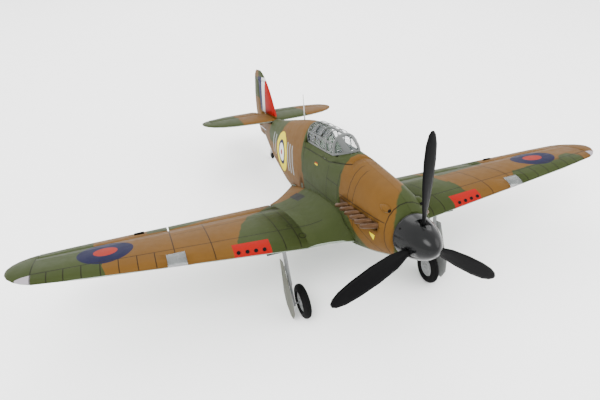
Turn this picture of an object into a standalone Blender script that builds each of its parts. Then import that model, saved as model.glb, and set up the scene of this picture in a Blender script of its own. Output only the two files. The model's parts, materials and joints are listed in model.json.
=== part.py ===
"""A foam radio-controlled warbird of 1.25 m span, built from its real pieces.

Everything is modelled in the level frame of the aircraft: X to the left wing, Y towards the tail, Z up,
with the propeller shaft on the Y axis. The "airframe" empty then sets the model on its three wheels.
"""

import math

import bpy
import bmesh
from mathutils import Matrix, Vector

for old in list(bpy.data.objects):
    bpy.data.objects.remove(old)

# ---------------------------------------------------------------- driving dimensions, in metres
GAP = 0.0003                      # room between two pieces that touch
HALF_SPAN = 0.625
DIHEDRAL = math.tan(math.radians(3.5))
DIHEDRAL_FROM = 0.125             # the centre section inboard of this is flat
WING_Z = -0.055                   # height of the root leading edge
LE_ROOT, LE_SLOPE = 0.139, 0.0914
TE_ROOT, TE_SLOPE = 0.392, 0.175
WING_ROOT_X = 0.040
FILLET_FROM = 0.110               # the wing root fairing starts here
ROOT_THICK, TIP_THICK = 0.150, 0.115
TIP_FROM = 0.535                  # the rounded tip starts here
CONTROL_IN, CONTROL_MID, CONTROL_OUT = 0.124, 0.3515, 0.5795
CONTROL_GAP = 0.0030              # between flap and aileron
HINGE_GAP = 0.0010
LIP_ANGLE = math.radians(40)      # where the fixed lips end, measured from straight up or down
WING_HINGE = (Vector((0.124, 0.3345, 0)), Vector((0.5795, 0.2800, 0)))

TAIL_Z = 0.055
TAIL_HALF_SPAN = 0.192
ELEVATOR_Y = 0.800
RUDDER_Y = 0.845
FIN_TOP = 0.184
FIN_BASE = 0.0628
SEAT_Z = 0.0472                   # the flat seat of the tailplane on the fuselage

SPINNER_R, SPINNER_TIP, SPINNER_BASE = 0.0355, -0.078, -0.0105
PROP_Y, PROP_R = -0.038, 0.170
PROP_PHASE = 0.113                # the first blade, from straight up towards the left wing
SHAFT_R = 0.0025
NOSE_Y, STERN_Y = -0.0075, 0.8345
SHELL = 0.006

HATCH_FRONT, HATCH_REAR = 0.158, 0.3715
SILL_Z, HATCH_Z = 0.0720, 0.0620  # top and underside of the hatch plate

WHEEL_R, WHEEL_W = 0.0345, 0.016
LEG_TOP = Vector((0.162, 0.176, -0.0610))
LEG_LENGTH = 0.1200
LEG_RAKE = math.radians(5)        # the leg leans forward when it is down
LEG_SPLAY = math.radians(3)       # and inwards
LEG_SWEEP = math.radians(8)       # and points this much aft when it is up
AXLE_OFFSET = 0.0175              # from the strut to the middle of the wheel
DOOR_OFFSET = 0.0075              # from the strut to the inner face of the door
TAIL_WHEEL_R, TAIL_WHEEL_W = 0.0125, 0.007
TAIL_WHEEL = Vector((0, 0.797, -0.0655))
STEER_Y = 0.783

HORN_LENGTH = 0.014
SERVO_ARM = 0.011
ROD_R = 0.0008
SPAR_Y, SPAR_Z, SPAR_R, SPAR_HALF = 0.245, -0.0525, 0.005, 0.200

# ---------------------------------------------------------------- colours
PAINT = {
    "camouflage_foam": ((0.16, 0.12, 0.06), 0.55, 0.0),
    "underside_foam": ((0.45, 0.47, 0.47), 0.6, 0.0),
    "black_plastic": ((0.012, 0.012, 0.013), 0.35, 0.0),
    "grey_plastic": ((0.30, 0.31, 0.31), 0.5, 0.0),
    "tyre_rubber": ((0.015, 0.015, 0.015), 0.8, 0.0),
    "clear_plastic": ((0.6, 0.65, 0.65), 0.1, 0.0),
    "steel": ((0.55, 0.55, 0.56), 0.3, 1.0),
    "aluminium": ((0.7, 0.7, 0.72), 0.35, 1.0),
    "carbon": ((0.02, 0.02, 0.02), 0.3, 0.0),
    "exhaust_bronze": ((0.20, 0.12, 0.06), 0.45, 0.6),
    "blue_wrap": ((0.03, 0.08, 0.3), 0.4, 0.0),
}


def material(slot):
    """The Principled material of a slot, made on first use."""
    if slot in bpy.data.materials:
        return bpy.data.materials[slot]
    made = bpy.data.materials.new(slot)
    made.use_nodes = True
    shader = made.node_tree.nodes["Principled BSDF"]
    colour, roughness, metallic = PAINT[slot]
    shader.inputs["Base Color"].default_value = (*colour, 1)
    shader.inputs["Roughness"].default_value = roughness
    shader.inputs["Metallic"].default_value = metallic
    return made


# ---------------------------------------------------------------- building tools
airframe = bpy.data.objects.new("airframe", None)
bpy.context.scene.collection.objects.link(airframe)


def off_plane(face):
    """How far the fourth corner of a face is from the plane of the other three."""
    a, b, c, d = (v.co for v in face.verts)
    normal = (b - a).cross(c - a)
    return abs(normal.dot(d - a)) / max(normal.length, 1e-12)


def add(name, bm, slot, pivot=(0, 0, 0), smooth=True):
    """Turns bm, drawn in the level frame, into an object whose origin is its pivot."""
    pivot = Vector(pivot)
    warped = [f for f in bm.faces if len(f.verts) == 4 and off_plane(f) > 1e-7]
    bmesh.ops.triangulate(bm, faces=warped)
    bmesh.ops.recalc_face_normals(bm, faces=bm.faces)
    if bm.calc_volume(signed=True) < 0:
        bmesh.ops.reverse_faces(bm, faces=bm.faces)
    bmesh.ops.translate(bm, verts=bm.verts, vec=-pivot)
    mesh = bpy.data.meshes.new(name)
    bm.to_mesh(mesh)
    bm.free()
    if smooth:
        mesh.shade_smooth()
        mesh.set_sharp_from_angle(angle=math.radians(35))
    made = bpy.data.objects.new(name, mesh)
    made.data.materials.append(material(slot))
    made.location = pivot
    made.parent = airframe
    bpy.context.scene.collection.objects.link(made)
    return made


def loft(rings, bm=None):
    """A closed solid through rings of equal length, with a flat face on each end."""
    bm = bm or bmesh.new()
    rows = [[bm.verts.new(p) for p in ring] for ring in rings]
    for near, far in zip(rows, rows[1:]):
        for i in range(len(near)):
            j = (i + 1) % len(near)
            bm.faces.new((near[i], near[j], far[j], far[i]))
    bm.faces.new(rows[0])
    bm.faces.new(rows[-1])
    return bm


def lathe(profile, centre, axis, steps):
    """Turns a closed outline of (distance along the axis, radius) about an axis."""
    axis = Vector(axis).normalized()
    turn = axis.to_track_quat("Z", "Y")
    bm = bmesh.new()
    rows = []
    for k in range(steps):
        angle = 2 * math.pi * k / steps
        radial = turn @ Vector((math.cos(angle), math.sin(angle), 0))
        rows.append([bm.verts.new(Vector(centre) + axis * a + radial * r) for a, r in profile])
    for k in range(steps):
        near, far = rows[k], rows[(k + 1) % steps]
        for i in range(len(profile)):
            j = (i + 1) % len(profile)
            if profile[i][1] > 0 or profile[j][1] > 0:
                bm.faces.new((near[i], near[j], far[j], far[i]))
    bmesh.ops.remove_doubles(bm, verts=bm.verts, dist=1e-6)
    return bm


def rod(start, end, radius, steps=10, bm=None):
    """A round bar between two points."""
    start, end = Vector(start), Vector(end)
    turn = (end - start).to_track_quat("Z", "Y")
    around = [
        turn @ Vector((math.cos(a), math.sin(a), 0)) * radius
        for a in (2 * math.pi * k / steps for k in range(steps))
    ]
    return loft([[start + p for p in around], [end + p for p in around]], bm)


def block(low, high, bm=None, turn=None, about=(0, 0, 0)):
    """A box between two corners, turned about a point if a matrix is given."""
    (x0, y0, z0), (x1, y1, z1) = low, high
    rings = [[Vector((x, y, z)) for x, y in ((x0, y0), (x1, y0), (x1, y1), (x0, y1))] for z in (z0, z1)]
    if turn:
        rings = [[Vector(about) + turn @ (p - Vector(about)) for p in ring] for ring in rings]
    return loft(rings, bm)


def cutter(name, bm):
    """A helper that the build leaves out."""
    made = add(name, bm, "grey_plastic", smooth=False)
    made.hide_render = True
    made.display_type = "WIRE"
    return made


def boolean(target, tool, operation="DIFFERENCE"):
    """Adds a Boolean modifier to an object."""
    modifier = target.modifiers.new(tool.name, "BOOLEAN")
    modifier.operation = operation
    modifier.object = tool
    modifier.solver = "EXACT"


def between(table, at):
    """Smooth value of a table of (position, value), by a monotone cubic between its points."""
    if at <= table[0][0]:
        return table[0][1]
    if at >= table[-1][0]:
        return table[-1][1]
    slopes = [(b[1] - a[1]) / (b[0] - a[0]) for a, b in zip(table, table[1:])]
    i = next(k for k in range(len(slopes)) if at <= table[k + 1][0])

    def tangent(k):
        before, after = slopes[max(k - 1, 0)], slopes[min(k, len(slopes) - 1)]
        return 0.0 if before * after <= 0 else 2 * before * after / (before + after)

    (a, va), (b, vb) = table[i], table[i + 1]
    t, h = (at - a) / (b - a), b - a
    return (
        va * (2 * t**3 - 3 * t**2 + 1)
        + vb * (3 * t**2 - 2 * t**3)
        + h * tangent(i) * (t**3 - 2 * t**2 + t)
        + h * tangent(i + 1) * (t**3 - t**2)
    )


def mirrored(point, side):
    return Vector((side * point[0], point[1], point[2]))


def sides():
    """(suffix, sign of x) of the two wings."""
    return (("left", 1), ("right", -1))


# ---------------------------------------------------------------- lifting surfaces
def half_thickness(u, thick):
    """Half of a symmetric aerofoil's thickness, in chords, at u chords from its nose."""
    rounded = 0.2969 * math.sqrt(u) - 0.126 * u - 0.3516 * u**2 + 0.2843 * u**3 - 0.1036 * u**4
    return 5 * thick * rounded + 0.0035 * u


def wing_shape(x):
    """(leading edge y, trailing edge y, chord line z, thickness ratio) of the wing at x."""
    front = LE_ROOT + LE_SLOPE * max(0, x - DIHEDRAL_FROM)
    back = TE_ROOT - TE_SLOPE * max(0, x - DIHEDRAL_FROM)
    front -= 0.014 * (max(0, FILLET_FROM - x) / 0.06) ** 2
    back += 0.090 * (max(0, DIHEDRAL_FROM - x) / 0.077) ** 1.25
    if x > TIP_FROM:
        s = min(1, (x - TIP_FROM) / (HALF_SPAN - TIP_FROM))
        front += (0.248 - front) * (1 - (1 - s**2.6) ** 0.5)
        back += (0.248 - back) * (1 - (1 - s**3.2) ** 0.45)
    z = WING_Z + DIHEDRAL * max(0, x - DIHEDRAL_FROM)
    thick = ROOT_THICK + (TIP_THICK - ROOT_THICK) * x / HALF_SPAN
    return front, back, z, thick


def wing_surface(x, y, upper):
    """Height of the wing's upper or lower surface over the plan point x, y."""
    front, back, z, thick = wing_shape(x)
    chord = back - front
    thick *= min(1, 0.26 / chord)
    u = min(max((y - front) / chord, 0), 1)
    camber = 0.022 * (1 - ((u - 0.4) / (0.4 if u < 0.4 else 0.6)) ** 2)
    sign = 1 if upper else -1
    spread = min(1, 9 * u) * (1 - u**3) if upper else 0
    fairing = 0.020 * (max(0, FILLET_FROM - x) / 0.062) ** 2.2 * spread
    return z + chord * (camber + sign * half_thickness(u, thick) - 0.03 * u) + fairing


def tail_surface(x, y, upper):
    front, back = tail_plan(x)
    u = min(max((y - front) / (back - front), 0), 1)
    return TAIL_Z + (1 if upper else -1) * (back - front) * half_thickness(u, 0.085)


def tail_plan(x):
    """(leading edge y, trailing edge y) of the tailplane at x."""
    s = min(1, x / TAIL_HALF_SPAN)
    tip_y = 0.800
    front = tip_y - (tip_y - 0.704 - 0.010 * s) * (1 - s**4.2) ** 0.5
    back = tip_y + (0.066 - 0.004 * s) * (1 - s**4.6) ** 0.5
    return front, back


def fin_plan(z):
    """(leading edge y, trailing edge y) of the fin and rudder at z."""
    t = (z - FIN_BASE) / (FIN_TOP - FIN_BASE)
    t = min(max(t, 0), 1)
    front = 0.703 + 0.075 * t
    front += (0.842 - front) * (1 - (1 - t**5.0) ** 0.55)
    low = between([(-0.014, 0.894), (0.01, 0.914), (0.05, 0.920), (0.10, 0.914), (0.14, 0.901)], z)
    back = low - (low - 0.842) * (1 - (1 - t**5.5) ** 0.5)
    return front, back


def fin_surface(z, y, positive):
    front, back = fin_plan(z)
    u = min(max((y - front) / (back - front), 0), 1)
    return (1 if positive else -1) * max((back - front) * half_thickness(u, 0.075), 0.0008)


CHORDWISE = (0.85, 0.63, 0.42, 0.24, 0.11, 0.03)
ARC_STEPS = 3


def fixed_outline(t, plan, surface, hinge=None, grow=0):
    """Outline, in (along, across), of the fixed part of a lifting surface at station t.

    A hinge is (along, across) of the moving part's axis: the outline then ends in a hollow round it."""
    front, back = plan(t)
    if hinge is None:
        middle = (surface(t, back, True) + surface(t, back, False)) / 2
        rise = surface(t, back, True) - middle
        limit = back - 0.0005
        turns = [math.cos(math.pi * k / ARC_STEPS) for k in range(ARC_STEPS + 1)]
        arc = [(back + grow, middle + rise * turn) for turn in turns]
    else:
        along, across = hinge
        nose = (surface(t, along, True) - surface(t, along, False)) / 2
        radius = nose + HINGE_GAP
        lip = max(LIP_ANGLE, math.acos(0.86 * nose / radius))
        start, sweep = math.pi / 2 + lip, math.pi - 2 * lip
        angles = [start + sweep * k / ARC_STEPS for k in range(ARC_STEPS + 1)]
        arc = [(along + radius * math.cos(a), across + radius * math.sin(a)) for a in angles]
        limit = arc[0][0]
    run = [front + (limit - front) * u for u in (1,) + CHORDWISE]
    upper = [(y, surface(t, y, True) + grow) for y in run]
    lower = [(y, surface(t, y, False) - grow) for y in run]
    nose = [(front - grow, (surface(t, front, True) + surface(t, front, False)) / 2)]
    return upper + nose + lower[::-1] + arc[::-1]


def moving_outline(t, plan, surface, hinge, back=None):
    """Outline of the moving part of a lifting surface at station t, with a round nose on its hinge."""
    along, across = hinge
    back = plan(t)[1] if back is None else back
    radius = (surface(t, along, True) - surface(t, along, False)) / 2
    nose = []
    for k in range(ARC_STEPS + 1):
        angle = math.pi / 2 + math.pi * k / ARC_STEPS
        nose.append((along + radius * math.cos(angle), across + radius * math.sin(angle)))
    middle = along + (back - along) * 0.5
    return nose + [
        (middle, surface(t, middle, False)),
        (back, surface(t, back, False)),
        (back, surface(t, back, True)),
        (middle, surface(t, middle, True)),
    ]


def wing_plan(x):
    return wing_shape(x)[:2]


def on_line(line, x):
    start, end = line
    share = (x - start.x) / (end.x - start.x)
    return start.lerp(end, share)


def hinge_point(line, x, surface):
    """(y, z) of a hinge line at x: z is the middle of the surface at its ends."""
    at = on_line(line, x)
    ends = [(surface(p.x, p.y, True) + surface(p.x, p.y, False)) / 2 for p in line]
    share = (x - line[0].x) / (line[1].x - line[0].x)
    return at.y, ends[0] + (ends[1] - ends[0]) * share


def hinge_ends(line, surface, side):
    """The two ends of a wing hinge, in the level frame."""
    return [mirrored((p.x, *hinge_point(line, p.x, surface)), side) for p in line]


def spanwise(outline, x, side):
    return [Vector((side * x, along, across)) for along, across in outline]


def make_wings():
    step = 0.0003
    stations = [(x, False) for x in (WING_ROOT_X, 0.052, 0.066, 0.083, 0.103, CONTROL_IN - step)]
    stations += [(CONTROL_IN + (CONTROL_OUT - CONTROL_IN) * k / 5, True) for k in range(6)]
    stations += [(x, False) for x in (CONTROL_OUT + step, 0.595, 0.608, 0.618, 0.6235)]
    for suffix, side in sides():
        rings = []
        for x, cut in stations:
            hinge = hinge_point(WING_HINGE, x, wing_surface) if cut else None
            rings.append(spanwise(fixed_outline(x, wing_plan, wing_surface, hinge), x, side))
        wing = add(f"wing_{suffix}", loft(rings), "camouflage_foam")
        small = [spar_hole, light_pocket[side], horn_notch[side]]
        for tool in gear_wells[side] + servo_pockets[side] + small:
            boolean(wing, tool)
        rings = []
        for x in (WING_ROOT_X - 0.0015, 0.052, 0.066, 0.083):
            rings.append(spanwise(fixed_outline(x, wing_plan, wing_surface, None, 2 * GAP), x, side))
        saddles[side] = cutter(f"saddle_{suffix}", loft(rings))


def horn(hinge, side, depth, bm):
    """A control horn under a surface: a thin blade whose tip is under the hinge."""
    x, y, z = hinge
    half = 0.0008
    outline = [(0.011, -depth), (0.001, -depth), (-0.0025, -HORN_LENGTH), (0.0025, -HORN_LENGTH - 0.002)]
    rings = [[Vector((x + s * half, y + a, z + b)) for a, b in outline] for s in (-1, 1)]
    return loft(rings, bm)


def make_wing_controls():
    """Ailerons and flaps with their horns, each with its origin on its hinge."""
    spans = {
        "flap": (CONTROL_IN + 0.0012, CONTROL_MID - CONTROL_GAP / 2, 4),
        "aileron": (CONTROL_MID + CONTROL_GAP / 2, CONTROL_OUT - 0.0012, 4),
    }
    for suffix, side in sides():
        for kind, (inner, outer, steps) in spans.items():
            horn_x = HORN_X[kind]
            rings = []
            for k in range(steps + 1):
                x = inner + (outer - inner) * k / steps
                hinge = hinge_point(WING_HINGE, x, wing_surface)
                rings.append(spanwise(moving_outline(x, wing_plan, wing_surface, hinge), x, side))
            if kind == "flap":
                root_hinge_y = hinge_point(WING_HINGE, inner, wing_surface)[0]
                for point in rings[0]:
                    point.x += side * 0.06 * max(0, point.y - root_hinge_y)
            pivot = mirrored((inner, *hinge_point(WING_HINGE, inner, wing_surface)), side)
            surface = add(f"{kind}_{suffix}", loft(rings), "camouflage_foam", pivot)
            at = mirrored((horn_x, *hinge_point(WING_HINGE, horn_x, wing_surface)), side)
            blade = cutter(f"{kind}_horn_{suffix}", horn(at, side, 0.002, bmesh.new()))
            boolean(surface, blade, "UNION")


def make_tail():
    """Stabiliser, elevators with their joiner, fin and rudder."""
    line = (Vector((0.0, ELEVATOR_Y, 0)), Vector((0.170, ELEVATOR_Y, 0)))

    def hinge(x):
        return hinge_point(line, x, tail_surface)

    stations = [(0.0, True), (0.06, True), (0.11, True), (0.145, True), (0.1690, True)]
    tips = [(0.1693, False), (0.180, False), (0.187, False), (0.1905, False)]
    half = [spanwise(fixed_outline(x, tail_plan, tail_surface, hinge(x) if cut else None), x, 1)
            for x, cut in stations + tips]
    other = [[Vector((-p.x, p.y, p.z)) for p in ring] for ring in half[:0:-1]]
    stabiliser = add("stabiliser", loft(other + half), "camouflage_foam")
    boolean(stabiliser, cutter("arm_notch", block((0.0184, 0.7860, 0.0300), (0.0222, 0.8120, 0.0560))))
    for suffix, side in sides():
        rings = []
        for x in (0.0225, 0.0295, 0.08, 0.12, 0.1675):
            back = min(tail_plan(x)[1], 0.844 + (x - 0.0225) * 3.2)
            rings.append(spanwise(moving_outline(x, tail_plan, tail_surface, hinge(x), back), x, side))
        add(f"elevator_{suffix}", loft(rings), "camouflage_foam", (0, ELEVATOR_Y, TAIL_Z))
    joiner = rod((-0.0221, ELEVATOR_Y, TAIL_Z), (0.0221, ELEVATOR_Y, TAIL_Z), 0.0015, 8)
    joiner = add("elevator_joiner", joiner, "steel", (0, ELEVATOR_Y, TAIL_Z))
    foot = -HORN_LENGTH - 0.002
    outline = [(-0.002, 0.0005), (0.002, 0.0005), (0.002, foot), (-0.002, foot)]
    arm = loft([[Vector((x, ELEVATOR_Y + a, TAIL_Z + b)) for a, b in outline] for x in (0.0196, 0.0210)])
    boolean(joiner, cutter("elevator_arm", arm), "UNION")

    def upright(outline, z):
        return [Vector((across, along, z)) for along, across in outline]

    rings = [upright(fixed_outline(z, fin_plan, fin_surface, (RUDDER_Y, 0.0)), z)
             for z in (FIN_BASE, 0.085, 0.11, 0.13, 0.145, 0.152)]
    add("fin", loft(rings), "camouflage_foam")
    levels = (-0.013, 0.02, FIN_BASE, 0.085, 0.11, 0.13, 0.145, 0.1535)
    rings = [upright(moving_outline(z, fin_plan, fin_surface, (RUDDER_Y, 0.0)), z) for z in levels]
    rudder = add("rudder", loft(rings), "camouflage_foam", (0, RUDDER_Y, 0.02))
    levels = (0.1527, 0.160, 0.168, 0.175, 0.1805)
    rings = [upright(fixed_outline(z, fin_plan, fin_surface), z) for z in levels]
    boolean(rudder, cutter("rudder_cap", loft(rings)), "UNION")
    horn_bar = block((foot, RUDDER_Y - 0.003, 0.0190), (-0.003, RUDDER_Y + 0.003, 0.0204))
    boolean(rudder, cutter("rudder_horn", horn_bar), "UNION")


# ---------------------------------------------------------------- fuselage
TOP = [(-0.0075, 0.0375), (0.005, 0.047), (0.03, 0.060), (0.08, 0.070), (0.12, 0.076), (0.183, 0.0866)]
TOP += [(0.24, 0.0900), (0.345, 0.0950), (0.3725, 0.1120), (0.40, 0.1100), (0.4635, 0.0996)]
TOP += [(0.55, 0.0840), (0.624, 0.0700), (0.68, 0.0620), (0.76, 0.0570), (0.8375, 0.0540)]
BOTTOM = [(-0.0075, -0.0375), (0.005, -0.046), (0.03, -0.055), (0.066, -0.066), (0.149, -0.083)]
BOTTOM += [(0.22, -0.088), (0.42, -0.088), (0.53, -0.083), (0.654, -0.063), (0.7275, -0.048)]
BOTTOM += [(0.783, -0.034), (0.8375, -0.016)]
HALF = [(-0.0075, 0.0370), (0.005, 0.0410), (0.03, 0.0440), (0.08, 0.0470), (0.15, 0.0490), (0.42, 0.0490)]
HALF += [(0.52, 0.0460), (0.65, 0.0350), (0.72, 0.0255), (0.78, 0.0155), (0.8375, 0.0070)]
WIDEST = [(-0.0075, 0.0), (0.15, -0.008), (0.42, -0.010), (0.65, 0.0), (0.8375, 0.015)]
ROUND_TOP = [(-0.0075, 2.0), (0.05, 2.2), (0.30, 2.1), (0.50, 2.0), (0.8375, 2.0)]
ROUND_LOW = [(-0.0075, 2.0), (0.08, 2.4), (0.20, 3.4), (0.42, 3.2), (0.60, 2.4), (0.8375, 2.0)]
AROUND = 11
FUSELAGE_STATIONS = (NOSE_Y, 0.002, 0.015, 0.035, 0.065, 0.10, 0.14, 0.18, 0.235, 0.30)
FUSELAGE_STATIONS += (0.352, 0.366, 0.3745)
FUSELAGE_STATIONS += (0.40, 0.44, 0.49, 0.54, 0.59, 0.64, 0.69, 0.735, 0.775, 0.81, STERN_Y)


def section(y, inset=0):
    """Half of the fuselage's outline at y, as (x, z) from the top to the bottom."""
    half = between(HALF, y) - inset
    middle = between(WIDEST, y)
    points = []
    for k in range(AROUND + 1):
        angle = math.pi * k / AROUND
        upper = angle < math.pi / 2
        power = 2 / between(ROUND_TOP if upper else ROUND_LOW, y)
        reach = (between(TOP, y) - middle if upper else middle - between(BOTTOM, y)) - inset
        rise = math.copysign(abs(math.cos(angle)) ** power, math.cos(angle))
        points.append((half * math.sin(angle) ** power, middle + reach * rise))
    points[0] = (0, points[0][1])
    points[-1] = (0, points[-1][1])
    return points


def half_width(y, z):
    """Half of the fuselage's width at y and at a height above its widest line."""
    middle, top, power = between(WIDEST, y), between(TOP, y), between(ROUND_TOP, y)
    return between(HALF, y) * (1 - min(1, max(0, (z - middle) / (top - middle))) ** power) ** (1 / power)


def whole_fuselage(start, end, steps, inset):
    """The solid inside the fuselage's outline, from one station to another."""
    rings = []
    for k in range(steps + 1):
        y = start + (end - start) * k / steps
        right = section(y, inset)
        ring = [(x, z) for x, z in right] + [(-x, z) for x, z in right[-2:0:-1]]
        rings.append([Vector((x, y, z)) for x, z in ring])
    return loft(rings)


def hatch_outline(grow):
    """The side view of the hatch plate and its front deck, as a bar across the fuselage."""
    low = HATCH_Z - grow
    points = [(HATCH_FRONT - grow, 0.125), (HATCH_FRONT - grow, 0.0745 - grow), (0.238, low)]
    points += [(HATCH_REAR + grow, low), (HATCH_REAR + grow, 0.130)]
    return points


def make_fuselage():
    opening = loft([[Vector((x, y, z)) for y, z in hatch_outline(GAP)] for x in (-0.07, 0.07)])
    opening = cutter("hatch_opening", opening)
    seat = cutter("tail_seat", block((-0.06, 0.6985, SEAT_Z), (0.06, 0.86, 0.09)))
    steering_hole = cutter("steering_hole", rod((0, STEER_Y, -0.070), (0, STEER_Y, -0.015), 0.0025, 10))
    mast_hole = cutter("mast_hole", rod((0, 0.4640, 0.0915), (0, 0.4612, 0.130), 0.0024, 8))
    for suffix, side in sides():
        rings = []
        for y in FUSELAGE_STATIONS:
            outer = [(x + GAP / 2, z) for x, z in section(y)]
            wall = SHELL if y < 0.66 else max(0.0028, SHELL - (y - 0.66) * 0.02)
            inner = [(x + GAP / 2, z) for x, z in section(y, wall)]
            rings.append([Vector((side * x, y, z)) for x, z in outer + inner[::-1]])
        half = add(f"fuselage_{suffix}", loft(rings), "camouflage_foam")
        slot = block((side * 0.030, 0.0257, -0.0013), (side * 0.060, 0.1683, 0.0143))
        slot = cutter(f"exhaust_slot_{suffix}", slot)
        start, end = rod_ends[side]
        along = (end - start).normalized()
        exit_hole = rod(start + along * 0.25, end + along * 0.01, 0.0024, 8)
        exit_hole = cutter(f"rod_exit_{suffix}", exit_hole)
        tools = [opening, seat, steering_hole, mast_hole, slot, exit_hole, spar_hole, saddles[side]]
        for tool in tools + gear_wells[side][:3]:
            boolean(half, tool)


def make_exhausts():
    """Six ejector stubs on a base strip, a side: each stub is drawn out of the strip's outer face."""
    edges = [0.0280 + 0.0230 * k + length for k in range(6) for length in (0, 0.0125)]
    stations = [0.026] + edges + [0.168]
    for suffix, side in sides():
        rings = []
        for y in stations:
            out = half_width(y, 0.0065) + 0.0003
            corners = [(out - 0.006, -0.001), (out, -0.001), (out, 0.014), (out - 0.006, 0.014)]
            rings.append([Vector((side * x, y, z)) for x, z in corners])
        bm = loft(rings)
        bm.faces.ensure_lookup_table()
        stubs = [bm.faces[4 * k + 1] for k in range(1, len(stations) - 1, 2)]
        for push, aft, squeeze in ((0.0040, 0.0025, 0.92), (0.0035, 0.0070, 0.97)):
            stubs = bmesh.ops.extrude_discrete_faces(bm, faces=stubs)["faces"]
            for face in stubs:
                middle = face.calc_center_median()
                for vertex in face.verts:
                    vertex.co.y = middle.y + (vertex.co.y - middle.y) * 0.86 + aft
                    vertex.co.z = middle.z + (vertex.co.z - middle.z) * squeeze
                    vertex.co.x += side * push
        add(f"exhausts_{suffix}", bm, "exhaust_bronze", smooth=False)


# ---------------------------------------------------------------- power train
def make_power_train():
    axis, origin = (0, 1, 0), (0, 0, 0)
    plate = [[Vector((x, y, z)) for x, z in firewall_ring(y)] for y in (0.0495, 0.0530)]
    firewall = add("firewall", loft(plate), "carbon", smooth=False)
    vents = bmesh.new()
    block((-0.030, 0.045, -0.012), (-0.022, 0.058, 0.020), vents)
    block((0.022, 0.045, -0.012), (0.030, 0.058, 0.020), vents)
    boolean(firewall, cutter("cooling_vents", vents))
    plate = block((-0.019, 0.0440, -0.019), (0.019, 0.0462, 0.019))
    mount = add("motor_mount", plate, "aluminium", smooth=False)
    feet = ((-0.015, -0.015), (0.015, -0.015), (0.015, 0.015), (-0.015, 0.015))
    for k, (x, z) in enumerate(feet):
        post = rod((x, 0.0450, z), (x, 0.0492, z), 0.003, 8)
        boolean(mount, cutter(f"post_{k}", post), "UNION")
    profile = [(0.0070, 0.0030), (0.0070, 0.0148), (0.0375, 0.0148), (0.0375, 0.0100), (0.0392, 0.0100)]
    profile += [(0.0392, 0.0170), (0.0436, 0.0170), (0.0436, 0.0030)]
    add("motor_stator", lathe(profile, origin, axis, 16), "steel")
    profile = [(-0.0550, 0), (-0.0550, SHAFT_R), (0.0020, SHAFT_R), (0.0030, 0.0165), (0.0045, 0.0175)]
    profile += [(0.0385, 0.0175), (0.0385, 0.0160), (0.0055, 0.0160), (0.0055, SHAFT_R), (0.0430, SHAFT_R)]
    add("motor_bell", lathe(profile + [(0.0430, 0)], origin, axis, 18), "aluminium")
    profile = [(SPINNER_BASE, 0.0028), (SPINNER_BASE, SPINNER_R), (-0.0130, SPINNER_R), (-0.0130, 0.008)]
    profile += [(-0.0300, 0.008), (-0.0300, 0.0028)]
    add("spinner_backplate", lathe(profile, origin, axis, 24), "black_plastic")
    profile = [(-0.0460, 0.0028), (-0.0460, 0.011), (-0.0303, 0.011), (-0.0303, 0.0028)]
    hub = add("propeller", lathe(profile, origin, axis, 18), "black_plastic")
    for k in range(3):
        boolean(hub, cutter(f"blade_{k}", blade(PROP_PHASE + 2 * math.pi * k / 3)), "UNION")
    profile = [(-0.0535, 0.0034), (-0.0535, 0.0060), (-0.0463, 0.0070), (-0.0463, 0.0034)]
    add("prop_nut", lathe(profile, origin, axis, 6), "steel", smooth=False)
    outer = [(-0.0780, 0.0), (-0.0770, 0.0050), (-0.0720, 0.0130), (-0.0600, 0.0225)]
    outer += [(-0.0450, 0.0292), (-0.0300, 0.0333), (-0.0133, SPINNER_R)]
    inner = [(a + 0.0016 if a < -0.03 else a, max(0, r - 0.0015)) for a, r in outer if r != 0.0050]
    inner[0] = (-0.0763, 0)
    spinner = add("spinner", lathe(outer + inner[::-1], origin, axis, 24), "black_plastic")
    for k in range(3):
        angle = PROP_PHASE + 2 * math.pi * k / 3
        turn = Matrix.Rotation(angle, 3, "Y")
        low, high = (-0.0078, PROP_Y - 0.0078, 0.012), (0.0078, PROP_Y + 0.0078, 0.045)
        slot = block(low, high, turn=turn)
        boolean(spinner, cutter(f"blade_slot_{k}", slot))


def firewall_ring(y):
    right = section(y, SHELL + 0.0006)
    return right + [(-x, z) for x, z in right[-2:0:-1]]


BLADE_SECTION = [(-0.5, 0), (-0.32, 0.42), (0.0, 0.5), (0.32, 0.3)]
BLADE_SECTION += [(0.5, 0), (0.32, -0.3), (0.0, -0.5), (-0.32, -0.42)]


def blade(angle):
    """One twisted blade, standing up and then turned about the shaft."""
    turn = Matrix.Rotation(angle, 3, "Y")
    table = [(0.008, 0.011, 50), (0.024, 0.0118, 48), (0.034, 0.0140, 43), (0.055, 0.0245, 33)]
    table += [(0.090, 0.0290, 25)]
    table += [(0.125, 0.0285, 18), (0.150, 0.024, 15), (0.164, 0.0155, 14), (PROP_R, 0.006, 13)]
    rings = []
    for radius, chord, pitch in table:
        tilt = math.radians(pitch)
        thick = 0.0055 if radius < 0.04 else 0.0036 - 0.014 * (radius - 0.04)
        thick = max(thick, 0.0014)
        ring = []
        for u, v in BLADE_SECTION:
            a, b = u * chord, v * thick
            ring.append(turn @ Vector((
                a * math.cos(tilt) - b * math.sin(tilt),
                PROP_Y + a * math.sin(tilt) + b * math.cos(tilt),
                radius,
            )))
        rings.append(ring)
    return loft(rings)


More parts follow.
